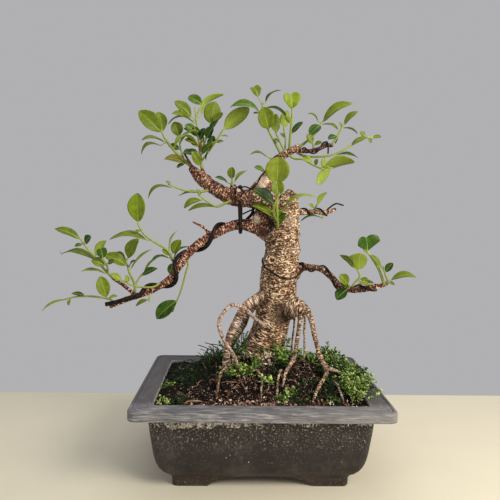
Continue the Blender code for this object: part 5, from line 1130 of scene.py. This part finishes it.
def ringPlaces(halfX, halfY, corner):
    # Places round a rounded rectangle, from its right back corner on: each corner and the side after it.
    def place(quarter, turn):
        signX, signY = ((1, 1), (-1, 1), (-1, -1), (1, -1))[quarter % 4]
        angle = math.pi / 2 * (quarter + turn)
        return Vector((signX * (halfX - corner) + corner * math.cos(angle),
                       signY * (halfY - corner) + corner * math.sin(angle), 0))

    places = []
    perCorner, alongSide = pot["perCorner"], pot["alongSide"]
    for quarter in range(4):
        places += [place(quarter, i / (perCorner - 1)) for i in range(perCorner)]
        start, stop = places[-1], place(quarter + 1, 0)
        places += [start.lerp(stop, k / alongSide) for k in range(1, alongSide)]
    return places


def potProfile():
    # Each ring: half width, half depth, corner radius, height, and 1 where the band up to it is rim.
    def rings(outline, rim, rows):
        return [(outline[0] + x, outline[1] + y, corner, z, rim) for x, y, corner, z in rows]

    top, thick, band = pot["height"], pot["lipThickness"], pot["rimBand"]
    sheet, lip = top - pot["sheet"], top - pot["lipHeight"]
    inner = tuple(side - pot["wallThickness"] for side in pot["wall"])
    even = [(-thick, 6, lip + 0.5), (0.5 - thick, 6.5, lip), (-0.9, 8, lip), (-0.2, 8.4, lip + 0.4),
            (0, 8.5, lip + 1.2), (0, 8.5, top - 1.6), (-0.4, 8.2, top - 0.5), (-1.3, 7.6, top),
            (-3.2, 7, top), (-pot["grooveInset"], 7, top - 0.5), (-4.4, 7, top - 0.8),
            (2.2 - band, 5.4, top - 0.7), (0.6 - band, 5, top - 1.2), (-band, 5, top - 2.4),
            (0.4 - band, 5, top - 4.0)]
    return (
        rings(pot["foot"], 0, [
            (0, 0, 6, 0.6), (0.5, 0.5, 6, 0), (1, 1, 6, 1.2), (1.2, 1.2, 6, 8), (3.2, 2.2, 7, 11.2)])
        + rings((0, 0), 0, pot["cove"])
        + rings(pot["wall"], 0, [(-2.6, -1.5, 12, 60), (0, 0, 12, sheet)])
        + rings(pot["brim"], 0, [(-thick, -thick, 6, sheet)])
        + rings(pot["brim"], 1, [(grow, grow, corner, z) for grow, corner, z in even])
        + rings(inner, 0, [(-2.8, -0.8, 8, 80)]) + rings((0, 0), 0, pot["inside"]))


def archCutter(outline, across):
    # An outline drawn out through the pot along X or Y.
    line = smoothCourse([(a, 0, b, 1) for a, b in outline], pot["archStation"])
    work = bmesh.new()
    corners = [work.verts.new((0, p.x, p.z) if across == "X" else (p.x, 0, p.z)) for p, r in line]
    face = work.faces.new(corners)
    deep = Vector((1, 0, 0) if across == "X" else (0, 1, 0)) * pot["archReach"]
    bmesh.ops.translate(work, verts=work.verts, vec=-deep)
    drawn = bmesh.ops.extrude_face_region(work, geom=[face])["geom"]
    bmesh.ops.translate(work, verts=pick(BMVert, drawn), vec=deep * 2)
    return asObject("arch", asMesh(work, "arch", True))


def makePot(plastic, weathered):
    rings = potProfile()
    work = bmesh.new()
    stations = work.verts.layers.int.new("station")
    grooves = work.verts.layers.float.new("rimGroove")
    flow = work.verts.layers.float_vector.new("potFlow")
    first = ringPlaces(*rings[0][:3])
    bmesh.ops.create_circle(work, segments=len(first), radius=1)
    walked = [0.0]
    for a, b in zip(first, first[1:]):
        walked.append(walked[-1] + (b - a).length)
    ring = sorted(work.verts, key=lambda v: math.atan2(v.co.y, v.co.x) % (2 * math.pi))
    for i, vertex in enumerate(ring):
        vertex[stations] = i
    edges = list(work.edges)
    profile = 0.0
    before = rings[0]
    for level, (halfX, halfY, corner, z, zone) in enumerate(rings):
        places = ringPlaces(halfX, halfY, corner)
        if level:
            made = bmesh.ops.extrude_edge_only(work, edges=edges)["geom"]
            edges, ring = pick(BMEdge, made), pick(BMVert, made)
            for face in pick(BMFace, made):
                face.material_index = zone
        profile += math.dist((before[0], before[3]), (halfX, z))
        before = rings[level]
        inGroove = abs(halfX - pot["brim"][0] + pot["grooveInset"]) < 0.1 and z > pot["height"] - 1
        for vertex in ring:
            i = vertex[stations]
            vertex.co = places[i] + Vector((0, 0, z))
            vertex[flow] = (walked[i], profile, z)
            vertex[grooves] = 1.0 if inGroove else 0.0
        if level == 0:
            bmesh.ops.contextual_create(work, geom=edges)
    bmesh.ops.contextual_create(work, geom=edges)
    shell = asObject("shell", asMesh(work, "shell", True))
    shell.data.materials.append(plastic)
    shell.data.materials.append(weathered)
    cutters = [archCutter(pot["frontArch"], "Y"), archCutter(pot["sideArch"], "X")]
    for place in pot["drainPlaces"]:
        drain = bmesh.new()
        bmesh.ops.create_cone(drain, cap_ends=True, matrix=Matrix.Translation(place), **pot["drain"])
        cutters.append(asObject("drain", asMesh(drain, "drain")))
    group = bpy.data.collections.new("cutters")
    for cutter in cutters:
        group.objects.link(cutter)
    cut = shell.modifiers.new("cut", "BOOLEAN")
    cut.operation = "DIFFERENCE"
    cut.operand_type = "COLLECTION"
    cut.collection = group
    cut.solver = "EXACT"
    mesh = evaluated(shell)
    for cutter in cutters:
        bpy.data.objects.remove(cutter)
    bpy.data.collections.remove(group)
    piece = placePiece("trainingPot", mesh, [], ("pot",))
    piece.data.set_sharp_from_angle(angle=math.radians(pot["sharpAngle"]))
    piece.modifiers.new("even", "WEIGHTED_NORMAL").keep_sharp = True


soil = {
    "edge": 84.0, "mound": 36.0, "centre": (5.0, 10.0), "reach": (80.0, 48.0),
    "shoulder": (9, 86, 14, 30, 36), "bulge": (6, 5, -36, 55, 20),  # height, middle and reach; roots bulge it
    "wall": (109, 79), "wallFade": 22, "moundAtWall": 0.35,
    "wave": (1.1, 0.19, 0.6, 0.23), "slant": (0.8, 0.11, 0.17, 1.3),  # height, turns and shifts
    "crumbs": ((2.2, 7), (1.4, 3.1), (0.6, 1.5)), "crumbLift": 0.6, "crumbLow": -0.8,  # each height and size
    "half": (110.3, 78.8), "corner": 8.0, "columns": 190, "rows": 136, "skirt": 6.0, "cover": 0.9,
}


def hump(x, y, form):
    height, atX, atY, reachX, reachY = form
    return height * math.exp(-((x - atX) / reachX) ** 2 - ((y - atY) / reachY) ** 2)


def soilHeight(x, y):
    mound = hump(x, y, (soil["mound"], *soil["centre"], *soil["reach"]))
    high, turnX, shift, turnY = soil["wave"]
    rough = high * math.sin(x * turnX + shift) * math.cos(y * turnY)
    high, turnX, turnY, shift = soil["slant"]
    rough += high * math.sin(x * turnX - y * turnY + shift)
    fade = soil["wallFade"]
    edge = clamp((soil["wall"][0] - abs(x)) / fade) * clamp((soil["wall"][1] - abs(y)) / fade)
    least = soil["moundAtWall"]
    raised = (hump(x, y, soil["shoulder"]) + hump(x, y, soil["bulge"])) * edge
    return soil["edge"] + mound * (least + (1 - least) * edge) + raised + rough


def crumble(x, y):
    # The soil's crumbs on top of its broad form.
    return sum(height * noise.noise(Vector((x, y, 0)) / size) for height, size in soil["crumbs"])


def crumbTop(x, y):
    return soilHeight(x, y) + soil["cover"] + crumble(x, y)


def makeSoil(earth):
    work = bmesh.new()
    bmesh.ops.create_grid(work, x_segments=soil["columns"], y_segments=soil["rows"], size=1)
    r = soil["corner"]
    straightX, straightY = (half - r for half in soil["half"])
    for vertex in work.verts:
        x, y = vertex.co.x * soil["half"][0], vertex.co.y * soil["half"][1]
        cx, cy = abs(x) - straightX, abs(y) - straightY
        if cx > 0 and cy > 0 and math.hypot(cx, cy) > r:
            fit = r / math.hypot(cx, cy)
            x, y = math.copysign(straightX + cx * fit, x), math.copysign(straightY + cy * fit, y)
        crumb = max(soil["crumbLow"], crumble(x, y) + soil["crumbLift"])
        vertex.co = (x, y, soilHeight(x, y) + soil["cover"] + crumb)
    closeBelow(work, lambda z: soil["edge"] - soil["skirt"])
    placePiece("soilCrumble", asMesh(work, "soil"), [earth])
    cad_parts["soil"].data.materials.clear()
    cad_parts["soil"].data.materials.append(earth)


grit = {
    "count": 2500, "shapes": 6, "size": (0.5, 1.5), "tone": 0.14, "toneSpread": 0.24, "seed": 11,
    "field": (107, 76), "limit": (107, 76.5), "chipLimit": (106, 75.5), "sunk": 0.35, "chipLift": 0.8,
    "front": {"share": 0.42, "across": (-5, 48), "from": -77, "band": 9.0, "size": (0.8, 2.6), "tone": 0.52},
    "left": {"share": 0.12, "x": (-107, -30), "y": (-76, -15)},
    # Chips and curls of bark and dead leaf: middle and half sizes of the patch, how many, length, tone.
    "chips": [
        (0, -44, 46, 22, 900, (1.2, 3.2), 0.40), (-72, -52, 30, 22, 420, (1.2, 3.4), 0.42),
        (44, -16, 26, 24, 320, (1.4, 4), 0.52), (-30, -44, 12, 22, 70, (2, 5), 0.44),
        (-88, 34, 12, 16, 30, (4, 8), 0.5), (96, -66, 14, 10, 30, (2, 5), 0.5),
        (-14, -69, 56, 7, 420, (1.2, 3.6), 0.58),
    ],
    "paleChips": (0.28, 0.4, -0.22),  # how many are paler, by how much, and how much darker the others are
    "chipSpread": 0.5, "chipTurn": (0.5, 0.7), "chipShade": 0.08,
    "smallest": (0.55, 0.6), "squash": ((1.0, 1.5), (0.6, 1), (0.4, 0.8)), "knocked": (0.72, 1.18),
    "chipShape": {"wide": 0.32, "ends": 1.15, "curl": 0.5, "thick": 0.05},
    # The flaking foot of the trunk: how many, heights, the foot's middle and reach, tone and its changes,
    # lengths; the way they face, how far the foot flares, how loose they are; how they lie.
    "flakes": (330, (101, 126), (4, 5, 25, 25), (0.55, 0.4, 0.22), (2.5, 6)),
    "flakePlace": ((4.75, 0.45), 0.28, (-0.03, 0.06)), "flakeLie": ((1.0, 0.8), (1.2, 0.9)),
}


def turned(*turns):
    # A turn by an angle about one axis after the other.
    matrix = Matrix.Identity(4)
    for angle, axis in turns:
        matrix = matrix @ Matrix.Rotation(angle, 4, axis)
    return matrix


def gritShape(draw):
    # A crumb: a small ball of a few faces, knocked out of round.
    work = bmesh.new()
    bmesh.ops.create_icosphere(work, subdivisions=1, radius=1)
    for vertex in work.verts:
        vertex.co *= draw.uniform(*grit["knocked"])
    work.verts.layers.float.new("tone")
    return asMesh(work, "crumb")


def chipShape():
    # A curled chip, one unit long.
    work = bmesh.new()
    bmesh.ops.create_grid(work, x_segments=3, y_segments=1, size=0.5)
    chip = grit["chipShape"]
    for vertex in work.verts:
        x, y, z = vertex.co
        vertex.co = (x, y * chip["wide"] * (chip["ends"] - abs(x)), chip["curl"] * x ** 2)
    work.normal_update()
    bmesh.ops.solidify(work, geom=work.faces[:], thickness=chip["thick"])
    work.verts.layers.float.new("tone")
    return asMesh(work, "chip", True)


def scatter(work, shape, matrix, tone):
    # Adds a copy of the shape to the mesh; its own mesh is put back afterwards.
    kept = np.empty(len(shape.vertices) * 3, np.float32)
    shape.vertices.foreach_get("co", kept)
    shape.attributes["tone"].data.foreach_set("value", [tone] * len(shape.vertices))
    shape.transform(matrix)
    work.from_mesh(shape)
    shape.vertices.foreach_set("co", kept)


def outside(x, y, limit):
    return abs(x) > limit[0] or abs(y) > limit[1]


def makeGrit(stone):
    draw = random.Random(grit["seed"])
    shapes = [gritShape(draw) for i in range(grit["shapes"])]
    work = bmesh.new()
    front, left, (farX, farY) = grit["front"], grit["left"], grit["field"]
    for i in range(grit["count"]):
        kind = draw.random()
        size, middleTone = grit["size"], grit["tone"]
        if kind < front["share"]:
            x = draw.gauss(*front["across"])
            y = front["from"] + abs(draw.gauss(0, 1)) * front["band"]
            size, middleTone = front["size"], front["tone"]
        elif kind < front["share"] + left["share"]:
            x, y = draw.uniform(*left["x"]), draw.uniform(*left["y"])
        else:
            x, y = draw.uniform(-farX, farX), draw.uniform(-farY, farY)
        if outside(x, y, grit["limit"]):
            continue
        radius = draw.uniform(*size) * (grit["smallest"][0] + grit["smallest"][1] * draw.random() ** 2)
        tone = clamp(draw.gauss(middleTone, grit["toneSpread"]))
        turn = turned((draw.uniform(*anyTurn), Vector((draw.random(), draw.random(), draw.random() + 0.1))))
        squash = [radius * draw.uniform(*ends) for ends in grit["squash"]]
        place = Matrix.Translation((x, y, crumbTop(x, y) + radius * grit["sunk"]))
        scatter(work, draw.choice(shapes), place @ turn @ Matrix.Diagonal((*squash, 1)), tone)
    chip = chipShape()
    (pale, paler, darker), (tip, roll), spread = grit["paleChips"], grit["chipTurn"], grit["chipSpread"]
    for middleX, middleY, halfX, halfY, count, lengths, tone in grit["chips"]:
        for i in range(count):
            x, y = middleX + draw.gauss(0, spread) * halfX, middleY + draw.gauss(0, spread) * halfY
            length = draw.uniform(*lengths)
            if outside(x, y, grit["chipLimit"]):
                continue
            turn = turned(
                (draw.uniform(*anyTurn), "Z"), (draw.gauss(0, tip), "Y"), (draw.gauss(0, roll), "X"))
            shade = tone + (paler if draw.random() < pale else darker)
            shade = clamp(shade + draw.gauss(0, grit["chipShade"]))
            place = Matrix.Translation((x, y, crumbTop(x, y) + grit["chipLift"]))
            scatter(work, chip, place @ turn @ Matrix.Scale(length, 4), shade)
    count, (low, high), (footX, footY, reachX, reachY), (tone, paler, spread), lengths = grit["flakes"]
    facing, flare, loose = grit["flakePlace"]
    tip, roll = grit["flakeLie"]
    for i in range(count):
        angle, share = draw.gauss(*facing), draw.random()
        out = 1.0 + (1 - share) * flare + draw.uniform(*loose)
        x, y = footX + reachX * out * math.cos(angle), footY + reachY * out * math.sin(angle)
        turn = turned((angle + math.pi / 2, "Z"), (draw.gauss(*tip), "Y"), (draw.gauss(*roll), "X"))
        shade = clamp(draw.gauss(tone + paler * share, spread), 0.1)
        place = Matrix.Translation((x, y, low + (high - low) * share))
        scatter(work, chip, place @ turn @ Matrix.Scale(draw.uniform(*lengths), 4), shade)
    placePiece("grit", asMesh(work, "grit"), [stone], smooth=False)


fibres = {
    "count": 60, "radial": 50, "length": (8, 34), "radius": (0.25, 0.65), "seed": 23,
    "foot": (4, -6, 26, 20), "out": (1.0, 2.1), "heading": (3.0, 6.4), "field": ((-100, 100), (-74, 60)),
    "step": 2.5, "bend": 0.28, "limit": (106, 75), "hop": (1.2, 0.9), "taper": 0.6, "astray": 0.5,
    "stations": (1.4, 1.2), "lift": 0.5, "sides": 6,
    # Thin roots that stand out, each with its radius: they lie on the soil or bridge it.
    "threads": [
        (0.9, [(-28, -24, 118), (-26.5, -31, 113), (-24, -37, 106), (-21, -44, 100.5), (-16, -52, 94.5),
               (-12, -57, 90)]),
        (0.8, [(-50, -4, 110), (-48.5, -16, 106), (-48, -27, 101.5), (-47, -38, 95)]),
        (0.6, [(-80, -74, 85), (-77, -70, 88.6), (-70, -68, 88.8), (-64, -67, 88.4), (-57, -68, 87)]),
        (1.0, [(54, 6, 108), (51, 2, 113), (46, -3, 112.8), (39, -9, 111)]),
        (0.8, [(53, 3, 112), (54, -8, 110.5), (57, -15, 107), (61, -24, 101)]),
        (0.5, [(-66, 10, 106), (-63, -2, 105.5), (-59, -12, 102)]),
    ],
}


def makeFibres(rootlet):
    # Fine dry roots that lie on the soil, most of them running out from the foot of the trunk.
    draw = random.Random(fibres["seed"])
    lines, (high, turn), (station, even) = [], fibres["hop"], fibres["stations"]
    for i in range(fibres["count"] + fibres["radial"]):
        if i < fibres["radial"]:
            heading = draw.uniform(*fibres["heading"])
            x, y, reachX, reachY = fibres["foot"]
            out = draw.uniform(*fibres["out"])
            x, y = x + reachX * out * math.cos(heading), y + reachY * out * math.sin(heading)
            heading += draw.gauss(0, fibres["astray"])
        else:
            heading = draw.uniform(*anyTurn)
            x, y = (draw.uniform(*ends) for ends in fibres["field"])
        length, radius = draw.uniform(*fibres["length"]), draw.uniform(*fibres["radius"])
        steps = max(4, int(length / fibres["step"]))
        line = []
        for k in range(steps):
            heading += draw.gauss(0, fibres["bend"])
            x += math.cos(heading) * length / steps
            y += math.sin(heading) * length / steps
            if outside(x, y, fibres["limit"]):
                break
            z = soilHeight(x, y) + soil["cover"] + max(crumble(x, y) + soil["crumbLift"], 0)
            z += radius * fibres["lift"] + high * math.sin(k * turn + i)
            line.append((x, y, z, radius * (1 - fibres["taper"] * k / steps)))
        if len(line) > 3:
            lines.append(smoothCourse(line, station))
    lines += [smoothCourse(thickened(course, radius), even) for radius, course in fibres["threads"]]
    placePiece("fineRoots", tubes("fibres", lines, fibres["sides"]), [rootlet])


# Ground cover: cushions of moss with tiny creeping plants and ferns. More of them grow in clumps nearby:
# middle, half sizes, how many, tone, how tall and the leaf's size. Plants that stand out: foot, heading and
# rise in degrees, droop, length, leaf size, tone.
covers = {
    "coverRight": {
        "at": (96, -4), "size": (31, 49), "height": 12, "lobes": 5, "sprigs": 290, "ferns": 0.1,
        "tall": (3, 11), "leaf": (2.2, 4.2), "tone": (-0.15, 0.95),
        "clumps": [
            (52, 14, 30, 20, 70, 0.75, (3, 9), (2.2, 3.6)), (66, -46, 26, 18, 34, 0.28, (2, 7), (2.6, 4.0)),
            (103, -38, 12, 26, 70, 0.8, (5, 14), (2.8, 5.0)),
            (78, -2, 14, 16, 50, 0.6, (4, 11), (2.8, 4.4))],
        "plants": [
            (78, 6, 60, 78, 10, 17, 5.0, 0.55), (88, 8, 20, 70, 30, 12, 4.6, 0.75),
            (66, -12, 200, 70, 20, 12, 4.4, 0.7), (100, 20, 60, 60, 50, 14, 4.2, 0.7),
            (112, -20, 340, 50, 50, 14, 5.0, 0.95), (118, -34, 300, 30, 60, 14, 5.2, 1.0),
            (114, -8, 350, 45, 60, 14, 5.4, 0.8), (108, 24, 30, 50, 50, 13, 4.2, 0.8),
            (115, -22, 350, 55, 70, 13, 4.4, 0.95), (116, -44, 330, 50, 60, 13, 4.6, 0.9),
            (113, -52, 310, 45, 60, 12, 4.4, 0.85), (117, -14, 10, 50, 70, 13, 4.2, 0.9),
            (108, -60, 290, 50, 60, 11, 4.2, 0.7), (116, -32, 345, 65, 60, 15, 4.6, 1.0),
            (114, 2, 15, 55, 60, 13, 4.4, 0.8), (105, -50, 280, 55, 50, 12, 4.6, 0.95)]},
    "coverTrunk": {
        "at": (0, -17), "size": (38, 13), "height": 3, "lobes": 4, "sprigs": 16, "ferns": 0.2,
        "tall": (2, 7), "leaf": (2.0, 3.6), "tone": (0.0, 0.45),
        "clumps": [
            (-15, -31, 10, 4, 20, 0.9, (5, 12), (3.4, 5.0)),
            (-31, -31, 9, 4, 14, 0.75, (8, 16), (3.8, 5.6)),
            (25, -12, 8, 5, 12, 0.66, (14, 24), (5.0, 7.6)), (24, -18, 8, 6, 14, 0.34, (5, 12), (3.2, 4.6)),
            (-2, -29, 8, 2, 9, 0.55, (12, 22), (3.0, 4.6)),
            (-24, 2, 14, 16, 34, 0.42, (10, 34), (2.6, 4.2)), (6, -46, 5, 3, 5, 0.95, (4, 8), (5.0, 7.0)),
            (-40, -32, 9, 7, 26, 0.12, (6, 15), (2.6, 4.2)), (4, -38, 26, 6, 16, 0.3, (2, 6), (2.4, 3.8))],
        "plants": [
            (27, -12, 60, 70, 25, 24, 7.2, 0.62), (31, -10, 20, 55, 40, 18, 7.4, 0.6),
            (22, -18, 130, 70, 30, 16, 6.4, 0.7), (-30, -31, 10, 35, 20, 13, 5.4, 0.75),
            (-34, -32, 170, 30, 20, 12, 5.2, 0.7), (-30, -20, 160, 65, 40, 20, 3.6, 0.5),
            (-25, -10, 100, 80, 30, 30, 3.4, 0.5), (-20, -6, 70, 78, 40, 34, 3.6, 0.5),
            (-28, 0, 120, 70, 40, 32, 3.4, 0.45)]},
    "coverLeft": {
        "at": (-70, 6), "size": (32, 34), "height": 4, "lobes": 5, "sprigs": 90, "ferns": 0.55,
        "tall": (2, 9), "leaf": (1.8, 3.2), "tone": (0.0, 0.30),
        "clumps": [
            (-52, 14, 18, 18, 60, 0.34, (4, 16), (2.0, 3.6)),
            (-70, -14, 38, 40, 36, 0.14, (2, 7), (1.8, 3.2)),
            (-108, -22, 5, 8, 8, 0.75, (4, 9), (3.2, 4.8)),
            (-92, -18, 14, 14, 18, 0.3, (2, 8), (2.0, 3.4))],
        "plants": [
            (-42, 24, 168, 40, 30, 34, 2.8, 0.1), (-40, 20, 160, 55, 50, 30, 2.8, 0.12),
            (-50, 20, 120, 60, 60, 24, 3.0, 0.2), (-58, 16, 150, 50, 60, 20, 3.0, 0.2),
            (-20, 32, 95, 82, 40, 36, 3.4, 0.15), (-14, 34, 60, 80, 60, 34, 3.4, 0.12),
            (-27, 30, 120, 75, 60, 30, 3.2, 0.15), (-112, -24, 170, 20, 30, 10, 4.2, 0.7)]},
    "coverFront": {
        "at": (38, -64), "size": (14, 8), "height": 3, "lobes": 3, "sprigs": 12, "ferns": 0.1,
        "tall": (1, 4), "leaf": (2.0, 3.4), "tone": (0.1, 0.5),
        "clumps": [
            (29, -58, 5, 5, 16, 0.75, (4, 9), (3.4, 5.0)), (20, -68, 6, 4, 14, 0.6, (3, 7), (3.0, 4.4)),
            (72, -64, 10, 5, 12, 0.5, (2, 6), (2.4, 3.8))],
        "plants": []},
    "coverCorner": {
        "at": (-88, -62), "size": (14, 10), "height": 3, "lobes": 3, "sprigs": 16, "ferns": 0.2,
        "tall": (1, 4), "leaf": (2.0, 3.2), "tone": (0.0, 0.35),
        "clumps": [
            (-99, -68, 5, 4, 8, 0.95, (3, 7), (3.6, 5.0)), (-84, -70, 12, 4, 16, 0.22, (2, 5), (2.2, 3.4))],
        "plants": []},
}
sprigShape = {
    "stem": 0.28, "stout": 40, "taper": 0.8, "overlap": 1.1, "stemTone": 0.7, "step": 2.6,
    "limit": (110, 76),
    "thin": 0.16, "cup": 0.35, "narrow": 0.66, "rise": (35, 85), "leafStep": 0.25, "shade": 0.16,
    "clumpTone": (0.6, 1.3), "spin": 0.25, "tilt": (-0.8, -0.1), "endTilt": -1.4, "sizes": (0.75, 1.1),
    "fernTip": 0.4, "fernLeaf": 0.75, "fernStep": 0.8, "fernLength": 1.4, "fernDroop": (20, 80),
    "sprigDroop": 10, "rooted": 0.7, "plantStep": 0.85, "bare": 0.35, "crossedFrom": 3.8,
}
cushion = {
    "grid": 44, "edge": 2.6, "lumps": (0.85, 0.5, 9), "fuzz": (1.1, 2.4), "lift": 0.8, "skirt": 3.0,
    "lobeDepths": (0.16, 0.07), "sideLobes": 3,
    "rimStart": 106, "rimDrop": 0.7, "mossEnd": 119, "mossPast": 0.3,  # the moss creeps over the rim to here
}


def wobble(cover, dx, dy):
    # How far the cushion's lobed edge is out in this direction.
    angle, (x, y), (deep, shallow) = math.atan2(dy, dx), cover["at"], cushion["lobeDepths"]
    edge = 1 + deep * math.sin(cover["lobes"] * angle + x)
    return edge + shallow * math.sin(cushion["sideLobes"] * angle + y)


def coverHeight(cover, x, y):
    # The moss above the ground at x and y, and the ground itself.
    dx, dy = (x - cover["at"][0]) / cover["size"][0], (y - cover["at"][1]) / cover["size"][1]
    share = min(1.0, math.hypot(dx, dy) / wobble(cover, dx, dy))
    least, lumpy, size = cushion["lumps"]
    lump = least + lumpy * noise.noise(Vector((x, y, 3)) / size)
    ground = pot["height"] - cushion["rimDrop"] if x > cushion["rimStart"] else soilHeight(x, y)
    return cover["height"] * (1 - share ** cushion["edge"]) * lump, ground


def makeCushion(cover):
    work = bmesh.new()
    bmesh.ops.create_grid(work, x_segments=cushion["grid"], y_segments=cushion["grid"], size=1)
    fuzz, size = cushion["fuzz"]
    for vertex in work.verts:
        u, v = vertex.co.x, vertex.co.y
        dx, dy = u * math.sqrt(1 - v * v / 2), v * math.sqrt(1 - u * u / 2)
        edge, (sizeX, sizeY) = wobble(cover, dx, dy), cover["size"]
        x, y = cover["at"][0] + dx * sizeX * edge, cover["at"][1] + dy * sizeY * edge
        x = min(x, cushion["mossEnd"] + (x - cushion["mossEnd"]) * cushion["mossPast"])
        height, ground = coverHeight(cover, x, y)
        tuft = cushion["lift"] + fuzz * noise.noise(Vector((x, y, 0)) / size)
        vertex.co = (x, y, ground + height + tuft)
    closeBelow(work, lambda z: z - cushion["skirt"])
    return work


def addFrond(work, shapes, plant, draw):
    # A drooping stem, a pair of leaflets at each step and one at its end; a sprig's pairs stand crosswise.
    stem, leaflet = shapes
    foot, heading, rise, droop, length, pitch, bare, crossed, leaf, tone = plant
    place, heading, rise = Vector(foot), math.radians(heading), math.radians(rise)
    steps = max(1, round(length / pitch))
    thick, step = sprigShape["stem"] * (1 + length / sprigShape["stout"]), length / steps
    for k in range(steps):
        aim = Vector((math.cos(heading) * math.cos(rise), math.sin(heading) * math.cos(rise), math.sin(rise)))
        turn = aim.to_track_quat("Z", "Y").to_matrix().to_4x4()
        shape = Matrix.Diagonal((thick, thick, step * sprigShape["overlap"], 1))
        scatter(work, stem, Matrix.Translation(place) @ turn @ shape, tone * sprigShape["stemTone"])
        place = place + aim * step
        rise -= math.radians(droop) / steps
        if k < steps * bare:
            continue
        for side in range(3 if k == steps - 1 else 2):
            spin = side * math.pi + (math.pi / 2 * k if crossed else 0) + draw.gauss(0, sprigShape["spin"])
            tilt = sprigShape["endTilt"] if side == 2 else draw.uniform(*sprigShape["tilt"])
            size = leaf * draw.uniform(*sprigShape["sizes"])
            size *= 1.0 if crossed else 1 - sprigShape["fernTip"] * k / steps
            shade = clamp(tone + draw.gauss(0, sprigShape["shade"]))
            shape = Matrix.Diagonal((size, size * sprigShape["narrow"], size, 1))
            where = Matrix.Translation(place) @ turn @ turned((spin, "Z"), (tilt, "Y"))
            scatter(work, leaflet, where @ shape, shade)


def makeCover(name, cover, materials):
    draw = random.Random(name)
    leaflet = bmesh.new()
    bmesh.ops.create_icosphere(leaflet, subdivisions=1, radius=0.5)
    for vertex in leaflet.verts:
        x, y, z = vertex.co
        vertex.co = (x + 0.5, y, z * sprigShape["thin"] + sprigShape["cup"] * x ** 2)
    stem = bmesh.new()
    bmesh.ops.create_cone(
        stem, cap_ends=True, segments=4, radius1=1, radius2=sprigShape["taper"], depth=1,
        matrix=Matrix.Translation((0, 0, 0.5)))
    work = makeCushion(cover)
    mossFaces = len(work.faces)
    for part in (leaflet, stem, work):
        part.verts.layers.float.new("tone")
    shapes = (asMesh(stem, "stem"), asMesh(leaflet, "leaflet"))
    onMoss = (*cover["at"], *cover["size"], cover["sprigs"], None, cover["tall"], cover["leaf"])
    places = [patch for patch in (onMoss, *cover["clumps"]) for i in range(patch[4])]
    for middleX, middleY, halfX, halfY, count, clumpTone, tall, leafSizes in places:
        angle, share = draw.uniform(*anyTurn), math.sqrt(draw.random())
        x, y = middleX + halfX * share * math.cos(angle), middleY + halfY * share * math.sin(angle)
        if clumpTone and outside(x, y, sprigShape["limit"]):
            continue
        height, ground = coverHeight(cover, x, y)
        fern = draw.random() < cover["ferns"]
        heading, rise = draw.uniform(0, 360), draw.uniform(*sprigShape["rise"])
        droop = draw.uniform(*sprigShape["fernDroop"]) if fern else sprigShape["sprigDroop"]
        length = draw.uniform(*tall) * (sprigShape["fernLength"] if fern else 1.0)
        pitch = sprigShape["step"] * (sprigShape["fernStep"] if fern else 1.0)
        pitch += leafSizes[0] * sprigShape["leafStep"]
        leaf = draw.uniform(*leafSizes) * (sprigShape["fernLeaf"] if fern else 1.0)
        tone = draw.uniform(*(sprigShape["clumpTone"] if clumpTone else cover["tone"])) * (clumpTone or 1.0)
        plant = ((x, y, ground + height), heading, rise, droop, length, pitch, 0.0, not fern, leaf, tone)
        addFrond(work, shapes, plant, draw)
    for x, y, heading, rise, droop, length, leaf, tone in cover["plants"]:
        height, ground = coverHeight(cover, x, y)
        foot, pitch = (x, y, ground + height * sprigShape["rooted"]), leaf * sprigShape["plantStep"]
        crossed, bare = leaf > sprigShape["crossedFrom"], sprigShape["bare"]
        addFrond(work, shapes, (foot, heading, rise, droop, length, pitch, bare, crossed, leaf, tone), draw)
    work.faces.ensure_lookup_table()
    for face in work.faces[mossFaces:]:
        face.material_index = 1
    placePiece(name.replace("cover", "groundCover"), asMesh(work, name), materials, (name,))


makeStudio()
wood = makeTree(barkMaterial())
leafMaterials = [leafMaterial(), layeredMaterial("greenStem")]
for name, (stems, leaves) in shoots.items():
    makeShoot(name, stems, leaves, leafMaterials)
makeWires(wood, layeredMaterial("anodisedWire"))
makePot(potMaterial(), rimMaterial())
makeSoil(layeredMaterial("moistPeat"))
makeGrit(layeredMaterial("clayGrit"))
makeFibres(layeredMaterial("dryRootlet"))
coverMaterials = [layeredMaterial("moss"), layeredMaterial("creepingSprig")]
for name, cover in covers.items():
    makeCover(name, cover, coverMaterials)
